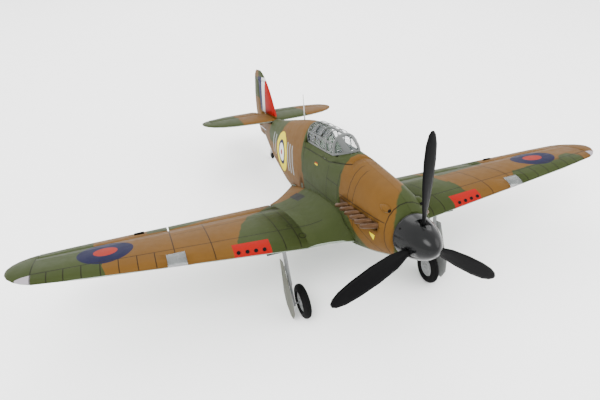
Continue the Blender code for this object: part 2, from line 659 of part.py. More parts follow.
# ---------------------------------------------------------------- what the fuselage holds
def make_inside():
    tray = block((-0.0390, 0.1000, -0.0265), (0.0390, 0.4000, -0.0240))
    add("equipment_tray", tray, "carbon", smooth=False)
    add("battery", block((-0.0210, 0.1250, -0.0236), (0.0210, 0.2600, 0.0060)), "blue_wrap", smooth=False)
    box = block((-0.0120, 0.2780, -0.0236), (0.0120, 0.3150, -0.0110))
    add("receiver", box, "black_plastic", smooth=False)
    box = block((-0.0130, 0.0534, -0.0330), (0.0130, 0.0634, 0.0200))
    add("speed_controller", box, "black_plastic", smooth=False)
    for name, side in (("elevator", 1), ("rudder", -1)):
        middle = side * 0.0072
        body = block((middle - 0.006, 0.3450, -0.0236), (middle + 0.006, 0.3680, 0.0005))
        servo = add(f"servo_{name}", body, "black_plastic", smooth=False)
        tabs = block((middle - 0.0059, 0.3405, -0.0070), (middle + 0.0059, 0.3725, -0.0050))
        boolean(servo, cutter(f"servo_tabs_{name}", tabs), "UNION")
        shaft = Vector((middle, 0.3510, 0.0008))
        arm = rod(shaft, shaft + Vector((0, 0, 0.0034)), 0.0032, 10)
        arm = add(f"servo_arm_{name}", arm, "grey_plastic", shaft)
        bar = block((middle, 0.3494, 0.0022), (middle + side * (SERVO_ARM + 0.0018), 0.3526, 0.0038))
        boolean(arm, cutter(f"arm_bar_{name}", bar), "UNION")
        start, end = rod_ends[side]
        add(f"pushrod_{name}", rod(start, end, ROD_R, 8), "steel", start)


def make_wing_insides():
    for suffix, side in sides():
        for kind, (x, y) in SERVO_PLACES.items():
            low = wing_surface(x, y, False)
            body = block((side * (x - 0.0115), y - 0.0060, low + 0.0008),
                         (side * (x + 0.0115), y + 0.0060, low + 0.0100))
            add(f"servo_{kind}_{suffix}", body, "black_plastic", smooth=False)
    add("wing_spar", rod((-SPAR_HALF, SPAR_Y, SPAR_Z), (SPAR_HALF, SPAR_Y, SPAR_Z), SPAR_R, 16), "carbon")


def make_scoop():
    rings = []
    stations = ((0.330, 0.030, -0.1155), (0.345, 0.034, -0.1190), (0.425, 0.034, -0.1190))
    for y, half, low in stations + ((0.445, 0.031, -0.1155),):
        corners = [(-half, -0.070), (half, -0.070), (half, low + 0.010), (half - 0.008, low)]
        corners += [(-half + 0.008, low), (-half, low + 0.010)]
        rings.append([Vector((x, y, z)) for x, z in corners])
    scoop = add("radiator_scoop", loft(rings), "camouflage_foam", smooth=False)
    duct = block((-0.0250, 0.320, -0.1125), (0.0250, 0.460, -0.0925))
    boolean(scoop, cutter("belly", whole_fuselage(0.30, 0.48, 4, -GAP)))
    boolean(scoop, cutter("duct", duct))


def make_lights():
    for suffix, side in sides():
        rings = []
        for x in (0.3350, 0.3670):
            front = wing_plan(x)[0]
            run = [front + (0.1835 - front) * u for u in (1, 0.7, 0.4, 0.18, 0.05)]
            ring = [(y, wing_surface(x, y, True)) for y in run] + [(front, wing_shape(x)[2])]
            ring += [(y, wing_surface(x, y, False)) for y in run[::-1]]
            rings.append(spanwise(ring, x, side))
        add(f"landing_light_{suffix}", loft(rings), "clear_plastic")


# ---------------------------------------------------------------- canopy hatch
CANOPY_STATIONS = ((0.1870, 0.0887), (0.1960, 0.0940), (0.2130, 0.1034), (0.2305, 0.1123))
CANOPY_STATIONS += ((0.2345, 0.1132),)
CANOPY_STATIONS += ((0.2700, 0.1148), (0.3200, 0.1152), (0.3550, 0.1144), (0.3705, 0.1132))


def canopy_arch(y, top, inset, low_extra=0):
    """The canopy's arch at y, as (x, z) from the left foot to the right foot."""
    low = SILL_Z + GAP + 0.0148 * max(0, (0.2380 - y) / 0.054) + low_extra
    foot = max(half_width(min(y, 0.345), low - 0.0005) - 0.0020, 0.006) - inset
    points = []
    for k in range(11):
        angle = math.pi * k / 10
        x = foot * math.copysign(abs(math.cos(angle)) ** 0.78, math.cos(angle))
        points.append((x, low + (top - inset - low) * math.sin(angle) ** 0.80))
    return points


def arch_shell(outer_inset, inner_inset, low_extra=0):
    rings = []
    for y, top in CANOPY_STATIONS:
        outer = canopy_arch(y, top, outer_inset, low_extra)
        inner = canopy_arch(y, top, inner_inset, low_extra)
        rings.append([Vector((x, y, z)) for x, z in outer + inner[::-1]])
    return loft(rings)


def make_hatch():
    deck = whole_fuselage(HATCH_FRONT - 0.006, HATCH_REAR + 0.0005, 8, 0)
    hatch = add("hatch_deck", deck, "camouflage_foam")
    keep = [(HATCH_FRONT, 0.125), (HATCH_FRONT, 0.0745), (0.238, HATCH_Z), (HATCH_REAR, HATCH_Z)]
    keep += [(HATCH_REAR, SILL_Z), (0.238, SILL_Z), (0.184, SILL_Z + 0.0148), (0.184, 0.125)]
    keep = cutter("hatch_keep", loft([[Vector((x, y, z)) for y, z in keep] for x in (-0.07, 0.07)]))
    boolean(hatch, keep, "INTERSECT")
    boolean(hatch, cutter("tub_hole", block((-0.0263, 0.2147, 0.04), (0.0263, 0.3453, 0.12))))
    outside = block((-0.0260, 0.2150, 0.0440), (0.0260, 0.3450, 0.0718))
    tub = add("cockpit_tub", outside, "black_plastic", smooth=False)
    boolean(tub, cutter("tub_inside", block((-0.0245, 0.2165, 0.0455), (0.0245, 0.3435, 0.09))))
    seat = bmesh.new()
    block((-0.0130, 0.2950, 0.0450), (0.0130, 0.3290, 0.0560), seat)
    boolean(tub, cutter("seat", seat), "UNION")
    back = block((-0.0130, 0.3270, 0.0450), (0.0130, 0.3330, 0.0860))
    boolean(tub, cutter("seat_back", back), "UNION")
    board = [(-0.0235, 0.0550), (0.0235, 0.0550), (0.0235, 0.0740), (0.0150, 0.0830), (-0.0150, 0.0830)]
    board += [(-0.0235, 0.0740)]
    panel = loft([[Vector((x, y, z)) for x, z in board] for y in (0.2300, 0.2320)])
    add("instrument_panel", panel, "black_plastic", smooth=False)
    add("canopy_glazing", arch_shell(0.0017, 0.0027), "clear_plastic")
    frame = add("canopy_frame", arch_shell(0.0, 0.0011), "grey_plastic")
    panes = bmesh.new()
    for y0, y1 in ((0.2380, 0.2670), (0.2705, 0.3000), (0.3035, 0.3330), (0.3365, 0.3670)):
        block((-0.06, y0, SILL_Z + 0.0045), (0.06, y1, 0.0935), panes)
        block((-0.06, y0, 0.0970), (-0.0020, y1, 0.130), panes)
        block((0.0020, y0, 0.0970), (0.06, y1, 0.130), panes)
    boolean(frame, cutter("panes", panes))
    front = bmesh.new()
    low, high = Vector((0, 0.1905, 0.0905)), Vector((0, 0.2275, 0.1105))
    half_low, half_high = 0.0075, 0.0085
    base = [Vector((-half_low, low.y, low.z - 0.02)), Vector((half_low, low.y, low.z - 0.02)),
            Vector((half_high, high.y, high.z - 0.02)), Vector((-half_high, high.y, high.z - 0.02))]
    loft([base, [p + Vector((0, 0, 0.05)) for p in base]], front)
    for side in (-1, 1):
        outline = [(0.2060, 0.0860), (0.2290, 0.0790), (0.2290, 0.1030), (0.2140, 0.0950)]
        loft([[Vector((side * x, y, z)) for y, z in outline] for x in (0.0115, 0.05)], front)
    boolean(frame, cutter("windscreen_panes", front))


# ---------------------------------------------------------------- undercarriage
def leg_directions():
    """Unit vectors of the left leg when it is down, and the turn that takes it up."""
    down = Vector((-math.sin(LEG_SPLAY), -math.sin(LEG_RAKE), -1)).normalized()
    out = Vector((1, 0, 0))
    out = (out - down * out.dot(down)).normalized()
    up = Vector((-math.cos(LEG_SWEEP), math.sin(LEG_SWEEP), 0))
    below = Vector((0, 0, -1))
    start = Matrix((down, out, down.cross(out))).transposed()
    end = Matrix((up, below, up.cross(below))).transposed()
    return down, out, end @ start.transposed()


LEG_DOWN, LEG_OUT, LEG_TURN = leg_directions()
LEG_ACROSS = LEG_DOWN.cross(LEG_OUT)
WHEEL = LEG_TOP + LEG_DOWN * LEG_LENGTH - LEG_OUT * AXLE_OFFSET


def leg_point(along, out, across):
    return LEG_TOP + LEG_DOWN * along + LEG_OUT * out + LEG_ACROSS * across


def flipped(bm, side):
    if side < 0:
        bmesh.ops.scale(bm, verts=bm.verts, vec=(-1, 1, 1))
    return bm


def retracted(bm, side):
    """Takes a shape drawn beside the left leg to where it is when the leg is up."""
    for vertex in bm.verts:
        vertex.co = LEG_TOP + LEG_TURN @ (vertex.co - LEG_TOP)
    return flipped(bm, side)


DOOR = [(0.026, -0.009), (0.026, 0.009), (0.070, 0.019), (0.105, 0.029), (0.128, 0.025), (0.146, 0.009)]
DOOR += [(0.146, -0.007), (0.128, -0.025), (0.105, -0.029), (0.070, -0.019)]


def door_prism(inner, outer, grow):
    middle = Vector((0.095, 0))
    points = []
    for along, across in DOOR:
        point = Vector((along, across))
        point += (point - middle).normalized() * grow
        points.append(point)
    return loft([[leg_point(p.x, out, p.y) for p in points] for out in (inner, outer)])


def leg_block(along, out, across, bm=None):
    rings = []
    for a in along:
        corners = ((out[0], across[0]), (out[1], across[0]), (out[1], across[1]), (out[0], across[1]))
        rings.append([leg_point(a, o, c) for o, c in corners])
    return loft(rings, bm)


def make_gear_wells():
    for suffix, side in sides():
        wheel = lathe([(-WHEEL_W / 2 - 0.0020, 0), (-WHEEL_W / 2 - 0.0020, WHEEL_R + 0.0042),
                       (0.08, WHEEL_R + 0.0042), (0.08, 0)], WHEEL, LEG_OUT, 26)
        strut = leg_block((-0.008, LEG_LENGTH - 0.0113), (-0.0070, 0.075), (-0.0075, 0.0075))
        door = door_prism(DOOR_OFFSET - 0.0015, 0.07, 0.0022)
        unit = block((0.1475, LEG_TOP.y - 0.0150, -0.10), (0.1985, LEG_TOP.y + 0.0150, -0.0480))
        gear_wells[side] = [
            cutter(f"wheel_well_{suffix}", retracted(wheel, side)),
            cutter(f"strut_well_{suffix}", retracted(strut, side)),
            cutter(f"door_well_{suffix}", retracted(door, side)),
            cutter(f"unit_well_{suffix}", flipped(unit, side)),
        ]


def make_undercarriage():
    for suffix, side in sides():
        plan = [(0.1500, -0.0135), (0.1965, -0.0135), (0.1965, 0.0135), (0.1500, 0.0135), (0.1500, 0.0112)]
        plan += [(0.1700, 0.0112), (0.1700, -0.0112), (0.1500, -0.0112)]
        unit = loft([[Vector((x, LEG_TOP.y + y, z)) for x, y in plan] for z in (-0.0665, -0.0485)])
        add(f"retract_unit_{suffix}", flipped(unit, side), "black_plastic", smooth=False)
        pivot = mirrored(LEG_TOP, side)
        axis = LEG_TURN.to_quaternion().to_axis_angle()[0]
        if axis.y < 0:
            axis = -axis
        trunnion = rod(LEG_TOP - axis * 0.0095, LEG_TOP + axis * 0.0095, 0.0050, 12)
        leg = add(f"gear_leg_{suffix}", flipped(trunnion, side), "steel", pivot)
        strut = rod(leg_point(0.002, 0, 0), leg_point(0.080, 0, 0), 0.0038, 12)
        boolean(leg, cutter(f"strut_{suffix}", flipped(strut, side)), "UNION")
        slider = rod(leg_point(0.078, 0, 0), leg_point(LEG_LENGTH + 0.004, 0, 0), 0.0028, 12)
        boolean(leg, cutter(f"slider_{suffix}", flipped(slider, side)), "UNION")
        inner_end = leg_point(LEG_LENGTH, -AXLE_OFFSET - 0.0085, 0)
        axle = rod(leg_point(LEG_LENGTH, 0.001, 0), inner_end, 0.0018, 10)
        boolean(leg, cutter(f"axle_{suffix}", flipped(axle, side)), "UNION")
        clips = leg_block((0.040, 0.048), (0.001, DOOR_OFFSET - 0.0003), (-0.003, 0.003))
        leg_block((0.090, 0.098), (0.0005, DOOR_OFFSET - 0.0003), (-0.0022, 0.0022), clips)
        boolean(leg, cutter(f"clips_{suffix}", flipped(clips, side)), "UNION")
        door = door_prism(DOOR_OFFSET, DOOR_OFFSET + 0.0014, 0)
        add(f"gear_door_{suffix}", flipped(door, side), "underside_foam", pivot, smooth=False)
        centre = mirrored(WHEEL, side)
        spin = mirrored(LEG_OUT, side)
        half = WHEEL_W / 2
        tread = [(-half * 0.5, 0.0198), (-half, 0.0245), (-half * 0.8, 0.0318), (0, WHEEL_R)]
        tread += [(half * 0.8, 0.0318), (half, 0.0245), (half * 0.5, 0.0198)]
        add(f"tyre_{suffix}", lathe(tread, centre, spin, 22), "tyre_rubber", centre)
        hub = [(-0.0062, 0.0021), (-0.0062, 0.0062), (-0.0036, 0.0080), (-0.0036, 0.0194)]
        hub += [(0.0036, 0.0194), (0.0036, 0.0080), (0.0062, 0.0062), (0.0062, 0.0021)]
        add(f"wheel_hub_{suffix}", lathe(hub, centre, spin, 22), "grey_plastic", centre)


def make_tail_wheel():
    stem = Vector((0, STEER_Y, -0.0450))
    fork = add("tail_fork", rod((0, STEER_Y, -0.0200), (0, STEER_Y, -0.0475), 0.0018, 10), "steel", stem)
    plan = [(STEER_Y - 0.003, -0.0505), (STEER_Y - 0.003, -0.0465), (STEER_Y + 0.006, -0.0465)]
    plan += [(TAIL_WHEEL.y + 0.003, -0.0640), (TAIL_WHEEL.y + 0.002, -0.0680)]
    plan += [(TAIL_WHEEL.y - 0.002, -0.0680)]
    arms = loft([[Vector((x, y, z)) for y, z in plan] for x in (-0.0062, 0.0062)])
    boolean(fork, cutter("fork_arms", arms), "UNION")
    across = Vector((1, 0, 0))
    clear = rod(TAIL_WHEEL - across * 0.0045, TAIL_WHEEL + across * 0.0045, TAIL_WHEEL_R + 0.0015, 20)
    boolean(fork, cutter("fork_gap", clear))
    axle = rod(TAIL_WHEEL - across * 0.0070, TAIL_WHEEL + across * 0.0070, 0.0010, 8)
    boolean(fork, cutter("tail_axle", axle), "UNION")
    half = TAIL_WHEEL_W / 2
    tread = [(-half, 0.0014), (-half, 0.0105), (-half * 0.5, TAIL_WHEEL_R), (half * 0.5, TAIL_WHEEL_R)]
    tread += [(half, 0.0105), (half, 0.0014)]
    add("tail_wheel", lathe(tread, TAIL_WHEEL, (1, 0, 0), 16), "tyre_rubber", TAIL_WHEEL)


def make_mast():
    base, tip = Vector((0, 0.46375, 0.0945)), Vector((0, 0.4594, 0.1585))
    turns = [2 * math.pi * k / 8 for k in range(8)]
    ring = [Vector((math.cos(a), 1.3 * math.sin(a), 0)) for a in turns]
    mast = loft([[base + p * 0.0017 for p in ring], [tip + p * 0.0008 for p in ring]])
    add("antenna_mast", mast, "grey_plastic")


# ---------------------------------------------------------------- assembly
SERVO_PLACES = {"flap": (0.235, 0.2850), "aileron": (0.385, 0.2620)}
HORN_X = {"flap": 0.235, "aileron": 0.385}
rod_ends = {
    1: (Vector((0.0182, 0.3510, 0.0051)), Vector((0.0182, ELEVATOR_Y, TAIL_Z - HORN_LENGTH))),
    -1: (Vector((-0.0182, 0.3510, 0.0051)), Vector((-0.0148, RUDDER_Y, 0.0178))),
}
gear_wells, servo_pockets, light_pocket, horn_notch, saddles = {}, {}, {}, {}, {}
spar_end = Vector((SPAR_HALF + 0.001, SPAR_Y, SPAR_Z))
spar_hole = cutter("spar_hole", rod(mirrored(spar_end, -1), spar_end, SPAR_R + GAP * 1.5, 16))
for suffix, side in sides():
    servo_pockets[side] = []
    for kind, (x, y) in SERVO_PLACES.items():
        low = wing_surface(x, y, False)
        corner = (side * (x - 0.0119), y - 0.0064, low - 0.02)
        pocket = block(corner, (side * (x + 0.0119), y + 0.0064, low + 0.0104))
        servo_pockets[side].append(cutter(f"servo_pocket_{kind}_{suffix}", pocket))
    y, z = hinge_point(WING_HINGE, HORN_X["flap"], wing_surface)
    low, high = HORN_X["flap"] - 0.0038, HORN_X["flap"] + 0.0026
    notch = block((side * low, y - 0.0150, z - 0.03), (side * high, y + 0.0020, z - 0.0010))
    horn_notch[side] = cutter(f"horn_notch_{suffix}", notch)
    pocket = block((side * 0.3347, 0.10, -0.10), (side * 0.3673, 0.1838, 0.0))
    light_pocket[side] = cutter(f"light_pocket_{suffix}", pocket)
make_gear_wells()
make_wings()
make_wing_controls()
make_tail()
make_fuselage()
make_exhausts()
make_power_train()
make_inside()
make_wing_insides()
make_scoop()
make_lights()
make_hatch()
make_undercarriage()
make_tail_wheel()
make_mast()

# The model stands on its three wheels, with the middle of its footprint on the origin.
reach = TAIL_WHEEL - WHEEL
stance = math.atan2(reach.z, reach.y) + math.asin((WHEEL_R - TAIL_WHEEL_R) / math.hypot(reach.y, reach.z))
airframe.rotation_euler.x = -stance
bpy.context.view_layer.update()
depsgraph = bpy.context.evaluated_depsgraph_get()
corners = []
for piece in bpy.data.objects:
    if piece.type == "MESH" and not piece.hide_render:
        shape = piece.evaluated_get(depsgraph)
        corners += [shape.matrix_world @ v.co for v in shape.data.vertices]
lowest = min(p.z for p in corners)
middle_y = (min(p.y for p in corners) + max(p.y for p in corners)) / 2
airframe.location = (0, -middle_y, -lowest)
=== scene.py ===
"""Looks for the foam warbird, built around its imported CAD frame.

The level frame of the aircraft (X to the left wing, Y to the tail, Z up, shaft on Y) is where the
shapes and the paint are described; to_world() and the shader's Mapping node turn between it and the
row frame.
"""

import json
import math

import bmesh
import bpy
from mathutils import Matrix, Vector
from mathutils.bvhtree import BVHTree

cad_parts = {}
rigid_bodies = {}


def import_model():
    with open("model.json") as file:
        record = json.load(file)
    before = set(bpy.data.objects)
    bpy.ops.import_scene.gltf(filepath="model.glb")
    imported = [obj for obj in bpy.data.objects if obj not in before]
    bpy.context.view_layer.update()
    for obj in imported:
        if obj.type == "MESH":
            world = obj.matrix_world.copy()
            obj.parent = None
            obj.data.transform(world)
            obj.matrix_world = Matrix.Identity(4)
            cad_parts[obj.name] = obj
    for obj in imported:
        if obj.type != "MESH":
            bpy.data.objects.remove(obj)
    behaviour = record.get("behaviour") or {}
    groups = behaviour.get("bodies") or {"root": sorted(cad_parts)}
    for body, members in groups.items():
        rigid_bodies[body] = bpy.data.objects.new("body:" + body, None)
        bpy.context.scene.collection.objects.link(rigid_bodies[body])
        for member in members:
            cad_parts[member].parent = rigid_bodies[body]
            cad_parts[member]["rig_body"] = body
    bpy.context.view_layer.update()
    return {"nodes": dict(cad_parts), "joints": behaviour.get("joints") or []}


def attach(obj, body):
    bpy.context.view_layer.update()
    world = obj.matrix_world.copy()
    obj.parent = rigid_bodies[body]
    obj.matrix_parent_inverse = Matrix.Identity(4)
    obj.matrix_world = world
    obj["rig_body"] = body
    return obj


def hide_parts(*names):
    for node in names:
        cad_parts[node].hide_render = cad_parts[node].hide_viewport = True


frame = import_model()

NODES = frame["nodes"]
JOINTS = {joint["name"]: joint for joint in frame["joints"]}

# ---------------------------------------------------------------- the level frame
TILT = math.radians(12.198928)                # nose up, on the wheels
SHAFT = Vector((0, -0.418872, 0.244804))      # the level frame's origin, in the row frame
LEVEL = Matrix.Translation(SHAFT) @ Matrix.Rotation(-TILT, 4, "X")
TURN = LEVEL.to_3x3()


def to_world(point):
    return LEVEL @ Vector(point)


def to_level(point):
    return LEVEL.inverted() @ Vector(point)


# ---------------------------------------------------------------- colours, linear
BROWN = (0.080, 0.0375, 0.0068)
BROWN_DARK = (0.058, 0.0270, 0.0048)
GREEN = (0.0225, 0.0300, 0.0082)
GREEN_DARK = (0.0160, 0.0220, 0.0060)
SKY = (0.190, 0.225, 0.185)
LINE = (0.0060, 0.0052, 0.0030)
BLUE = (0.0026, 0.0028, 0.0200)
RED = (0.200, 0.0045, 0.0025)
DISC_RED = (0.165, 0.0100, 0.0050)
YELLOW = (0.450, 0.370, 0.0015)
WHITE = (0.48, 0.49, 0.48)
GREY_BAR = (0.165, 0.170, 0.165)


# ---------------------------------------------------------------- node graphs


class Paint:
    """A Principled material and short ways to add nodes to it."""

    def __init__(self, name, roughness=0.5, metallic=0.0):
        self.material = bpy.data.materials.new(name)
        self.material.use_nodes = True
        self.tree = self.material.node_tree
        self.shader = self.tree.nodes["Principled BSDF"]
        self.shader.inputs["Roughness"].default_value = roughness
        self.shader.inputs["Metallic"].default_value = metallic
        self.coordinates = self.tree.nodes.new("ShaderNodeTexCoord")

    def node(self, kind, inputs=None, **settings):
        made = self.tree.nodes.new(kind)
        for key, value in settings.items():
            setattr(made, key, value)
        for key, value in (inputs or {}).items():
            self.put(made.inputs[key], value)
        return made

    def put(self, socket, value):
        if isinstance(value, bpy.types.NodeSocket):
            self.tree.links.new(value, socket)
        elif isinstance(value, tuple) and len(value) == 3 and socket.type == "RGBA":
            socket.default_value = (*value, 1)
        else:
            socket.default_value = value

    def math(self, operation, a, b=0.0, c=0.0):
        return self.node("ShaderNodeMath", {0: a, 1: b, 2: c}, operation=operation).outputs[0]

    def mix(self, share, a, b):
        made = self.node("ShaderNodeMix", data_type="RGBA")
        for key, value in ((0, share), (6, a), (7, b)):
            self.put(made.inputs[key], value)
        return made.outputs[2]

    def noise(self, scale, detail=2.0, roughness=0.5, vector=None, colour=False):
        made = self.node("ShaderNodeTexNoise", {"Scale": scale, "Detail": detail, "Roughness": roughness,
                                                "Vector": vector or self.coordinates.outputs["Object"]})
        return made.outputs["Color" if colour else "Fac"]

    def curve(self, value, points):
        """A straight-line table from 0..1 to 0..1."""
        made = self.node("ShaderNodeFloatCurve", {"Value": value})
        table = made.mapping.curves[0]
        while len(table.points) < len(points):
            table.points.new(0.5, 0.5)
        for point, (at, to) in zip(table.points, points):
            point.location = (at, to)
            point.handle_type = "VECTOR"
        made.mapping.update()
        return made.outputs[0]

    def step(self, value, edge, width=0.0008):
        """0 below the edge and 1 above it, with a soft change of that half width."""
        made = self.node("ShaderNodeMapRange", {"Value": self.math("SUBTRACT", value, edge),
                                                "From Min": -width, "From Max": width}, clamp=True)
        return made.outputs[0]

    def near(self, value, at, reach):
        return self.math("COMPARE", value, at, reach)

    def within(self, value, low, high):
        """1 where low < value < high."""
        return self.math("MULTIPLY", self.math("GREATER_THAN", value, low),
                         self.math("LESS_THAN", value, high))

    def both(self, *masks):
        result = masks[0]
        for mask in masks[1:]:
            result = self.math("MULTIPLY", result, mask)
        return result

    def either(self, *masks):
        result = masks[0]
        for mask in masks[1:]:
            result = self.math("MAXIMUM", result, mask)
        return result

    def distance(self, a, b, centre):
        """How far (a, b) is from the centre."""
        first = self.math("POWER", self.math("SUBTRACT", a, centre[0]), 2.0)
        second = self.math("POWER", self.math("SUBTRACT", b, centre[1]), 2.0)
        return self.math("SQRT", self.math("ADD", first, second))

    def level_place(self):
        """Fills in self.x, self.y, self.z in the level frame, and self.up, the normal's rise."""
        origin = to_level((0, 0, 0))
        mapping = self.node("ShaderNodeMapping", {"Vector": self.coordinates.outputs["Object"]},
                            vector_type="POINT")
        mapping.inputs["Rotation"].default_value = (TILT, 0, 0)
        mapping.inputs["Location"].default_value = origin
        self.level = mapping.outputs[0]
        parts = self.node("ShaderNodeSeparateXYZ", {0: self.level})
        self.x, self.y, self.z = parts.outputs[:3]
        turned = self.node("ShaderNodeMapping", {"Vector": self.coordinates.outputs["Normal"]},
                           vector_type="VECTOR")
        turned.inputs["Rotation"].default_value = (TILT, 0, 0)
        self.up = self.node("ShaderNodeSeparateXYZ", {0: turned.outputs[0]}).outputs[2]
        self.span = self.math("ABSOLUTE", self.x)

    def wavering(self, size, scale):
        """The level place, moved about by noise, as three sockets."""
        noise = self.noise(scale, 3.0, 0.6, self.level, colour=True)
        offset = self.node("ShaderNodeVectorMath", {0: noise, 1: (size,) * 3, 2: (-size / 2,) * 3},
                           operation="MULTIPLY_ADD").outputs[0]
        moved = self.node("ShaderNodeVectorMath", {0: self.level, 1: offset}, operation="ADD").outputs[0]
        return self.node("ShaderNodeSeparateXYZ", {0: moved}).outputs[:3]

    def bump(self, height, distance, strength=1.0, below=None):
        made = self.node("ShaderNodeBump", {"Height": height, "Distance": distance, "Strength": strength})
        if below is not None:
            self.put(made.inputs["Normal"], below)
        self.put(self.shader.inputs["Normal"], made.outputs[0])
        return made.outputs[0]

    def colour(self, value):
        self.put(self.shader.inputs["Base Color"], value)

    def roughness(self, low, high, scale):
        noise = self.noise(scale, 3.0)
        self.put(self.shader.inputs["Roughness"],
                 self.node("ShaderNodeMapRange",
                           {"Value": noise, "To Min": low, "To Max": high}).outputs[0])


def spread(points, low, size, floor, height):
    """A table in metres as the 0..1 points that a Float Curve takes."""
    return [((a - low) / size, (b - floor) / height) for a, b in points]


# ---------------------------------------------------------------- camouflage paint
# Brown lies where the first table < the second coordinate < the second table; the rest is green.
# The tables' extents, metres: where each starts and how far it runs, across and up.
WING_EDGE, WING_REACH, WING_CHORD = -0.65, 1.3, 0.5
BODY_START, BODY_LENGTH, BODY_FLOOR, BODY_HEIGHT = -0.05, 1.0, -0.2, 0.4
WING_LOW = [(-0.65, 0.5), (-0.495, 0.5), (-0.488, 0.30), (-0.470, 0.20), (-0.458, 0.02),
            (-0.252, 0.02), (-0.246, 0.175), (-0.235, 0.20), (-0.220, 0.25), (-0.196, 0.30),
            (-0.165, 0.325), (-0.145, 0.355), (-0.125, 0.385), (-0.105, 0.375), (-0.04, 0.365),
            (0.0, 0.37), (0.05, 0.365), (0.12, 0.40), (0.2, 0.5), (0.2235, 0.5), (0.2265, 0.235),
            (0.236, 0.235), (0.239, 0.02), (0.352, 0.02), (0.362, 0.175), (0.376, 0.202),
            (0.42, 0.205), (0.50, 0.202), (0.515, 0.218), (0.54, 0.218), (0.555, 0.195),
            (0.562, 0.02), (0.65, 0.02)]
WING_HIGH = [(-0.65, 0.5), (-0.397, 0.5), (-0.392, 0.312), (-0.350, 0.310), (-0.30, 0.330),
             (-0.25, 0.362), (-0.235, 0.5), (0.21, 0.5), (0.236, 0.5), (0.2405, 0.285),
             (0.36, 0.292), (0.375, 0.305), (0.385, 0.335), (0.392, 0.5), (0.65, 0.5)]
BODY_LOW = [(-0.05, -0.2), (0.072, -0.2), (0.080, -0.055), (0.130, -0.012), (0.165, 0.0),
            (0.174, 0.06), (0.180, 0.2), (0.355, 0.2), (0.362, -0.2), (0.95, -0.2)]
BODY_HIGH = [(-0.05, 0.2), (0.353, 0.2), (0.3545, -0.2), (0.362, -0.19), (0.3635, 0.0),
             (0.372, 0.01), (0.380, 0.05), (0.386, 0.2), (0.515, 0.2), (0.535, 0.10),
             (0.556, 0.065), (0.580, 0.030), (0.62, 0.012), (0.680, 0.012), (0.700, 0.030),
             (0.716, 0.2), (0.95, 0.2)]


def camouflage(name, pattern):
    """Painted foam. pattern is wing, body, tail or fin."""
    paint = Paint(name)
    paint.level_place()
    x, y, z = paint.wavering(0.016, 26)
    if pattern == "wing":
        across = paint.math("MULTIPLY_ADD", x, 1 / WING_REACH, -WING_EDGE / WING_REACH)
        low = paint.curve(across, spread(WING_LOW, WING_EDGE, WING_REACH, 0, WING_CHORD))
        high = paint.curve(across, spread(WING_HIGH, WING_EDGE, WING_REACH, 0, WING_CHORD))
        along = paint.math("MULTIPLY", y, 1 / WING_CHORD)
    elif pattern == "body":
        across = paint.math("MULTIPLY_ADD", y, 1 / BODY_LENGTH, -BODY_START / BODY_LENGTH)
        low = paint.curve(across, spread(BODY_LOW, BODY_START, BODY_LENGTH, BODY_FLOOR, BODY_HEIGHT))
        high = paint.curve(across, spread(BODY_HIGH, BODY_START, BODY_LENGTH, BODY_FLOOR, BODY_HEIGHT))
        along = paint.math("MULTIPLY_ADD", z, 1 / BODY_HEIGHT, -BODY_FLOOR / BODY_HEIGHT)
    if pattern in ("wing", "body"):
        brown = paint.both(paint.step(along, low, 0.004),
                           paint.math("SUBTRACT", 1.0, paint.step(along, high, 0.004)))
        if pattern == "body":
            nose_edge = paint.math("MULTIPLY_ADD", x, 1.17, 0.0287)
            brown = paint.both(brown, paint.step(y, nose_edge, 0.002))
    elif pattern == "tail":
        right = paint.step(x, -0.092, 0.0015)
        left = paint.math("SUBTRACT", 1.0, paint.step(x, 0.002, 0.0015))
        brown = paint.either(paint.both(right, left), paint.step(x, 0.094, 0.0015))
    else:
        brown = paint.either(paint.math("SUBTRACT", 1.0, paint.step(z, 0.098, 0.0015)),
                             paint.both(paint.step(z, 0.158, 0.0015), paint.step(y, 0.838, 0.0015)))
    mottle = paint.noise(9, 4.0, 0.6)
    streak = paint.noise(60, 3.0, 0.7)
    tone = paint.math("MULTIPLY_ADD", streak, 0.35, paint.math("MULTIPLY", mottle, 0.65))
    browns = paint.mix(tone, BROWN_DARK, tuple(2 * a - b for a, b in zip(BROWN, BROWN_DARK)))
    greens = paint.mix(tone, GREEN_DARK, tuple(2 * a - b for a, b in zip(GREEN, GREEN_DARK)))
    colour = paint.mix(brown, greens, browns)
    return paint, colour, tone


def finish_paint(paint, colour, tone, groove, split, roughness=(0.50, 0.66), ribs=None):
    """Sky underside below the split, dark panel lines, foam grain and roughness."""
    under = paint.math("SUBTRACT", 1.0, paint.step(paint.up, split, 0.04))
    sky = paint.mix(tone, tuple(0.93 * c for c in SKY), tuple(1.05 * c for c in SKY))
    colour = paint.mix(under, colour, sky)
    if groove is not None:
        shade = paint.math("MULTIPLY", groove, 0.80)
        colour = paint.mix(shade, colour, LINE)
    paint.colour(colour)
    beads = paint.node("ShaderNodeTexVoronoi",
                       {"Scale": 330.0, "Vector": paint.coordinates.outputs["Object"]},
                       feature="SMOOTH_F1").outputs["Distance"]
    grain = paint.math("MULTIPLY_ADD", paint.noise(900, 2.0), 0.25, paint.math("MULTIPLY", beads, 0.35))
    normal = paint.bump(grain, 0.00022, 0.35)
    height = None
    if groove is not None:
        height = paint.math("SUBTRACT", 1.0, groove)
    if ribs is not None:
        height = paint.math("ADD", ribs, height) if height is not None else ribs
    if height is not None:
        paint.bump(height, 0.0005, 0.6, normal)
    paint.roughness(*roughness, 70)
    paint.shader.inputs["Specular IOR Level"].default_value = 0.05
    return paint.material


def disc(paint, a, b, centre, colour, rings):
    """Round rings painted about a centre on the plane of two coordinates."""
    distance = paint.distance(a, b, centre)
    for radius, shade in rings:
        colour = paint.mix(paint.math("SUBTRACT", 1.0, paint.step(distance, radius, 0.0005)), colour,
                           shade)
    return colour


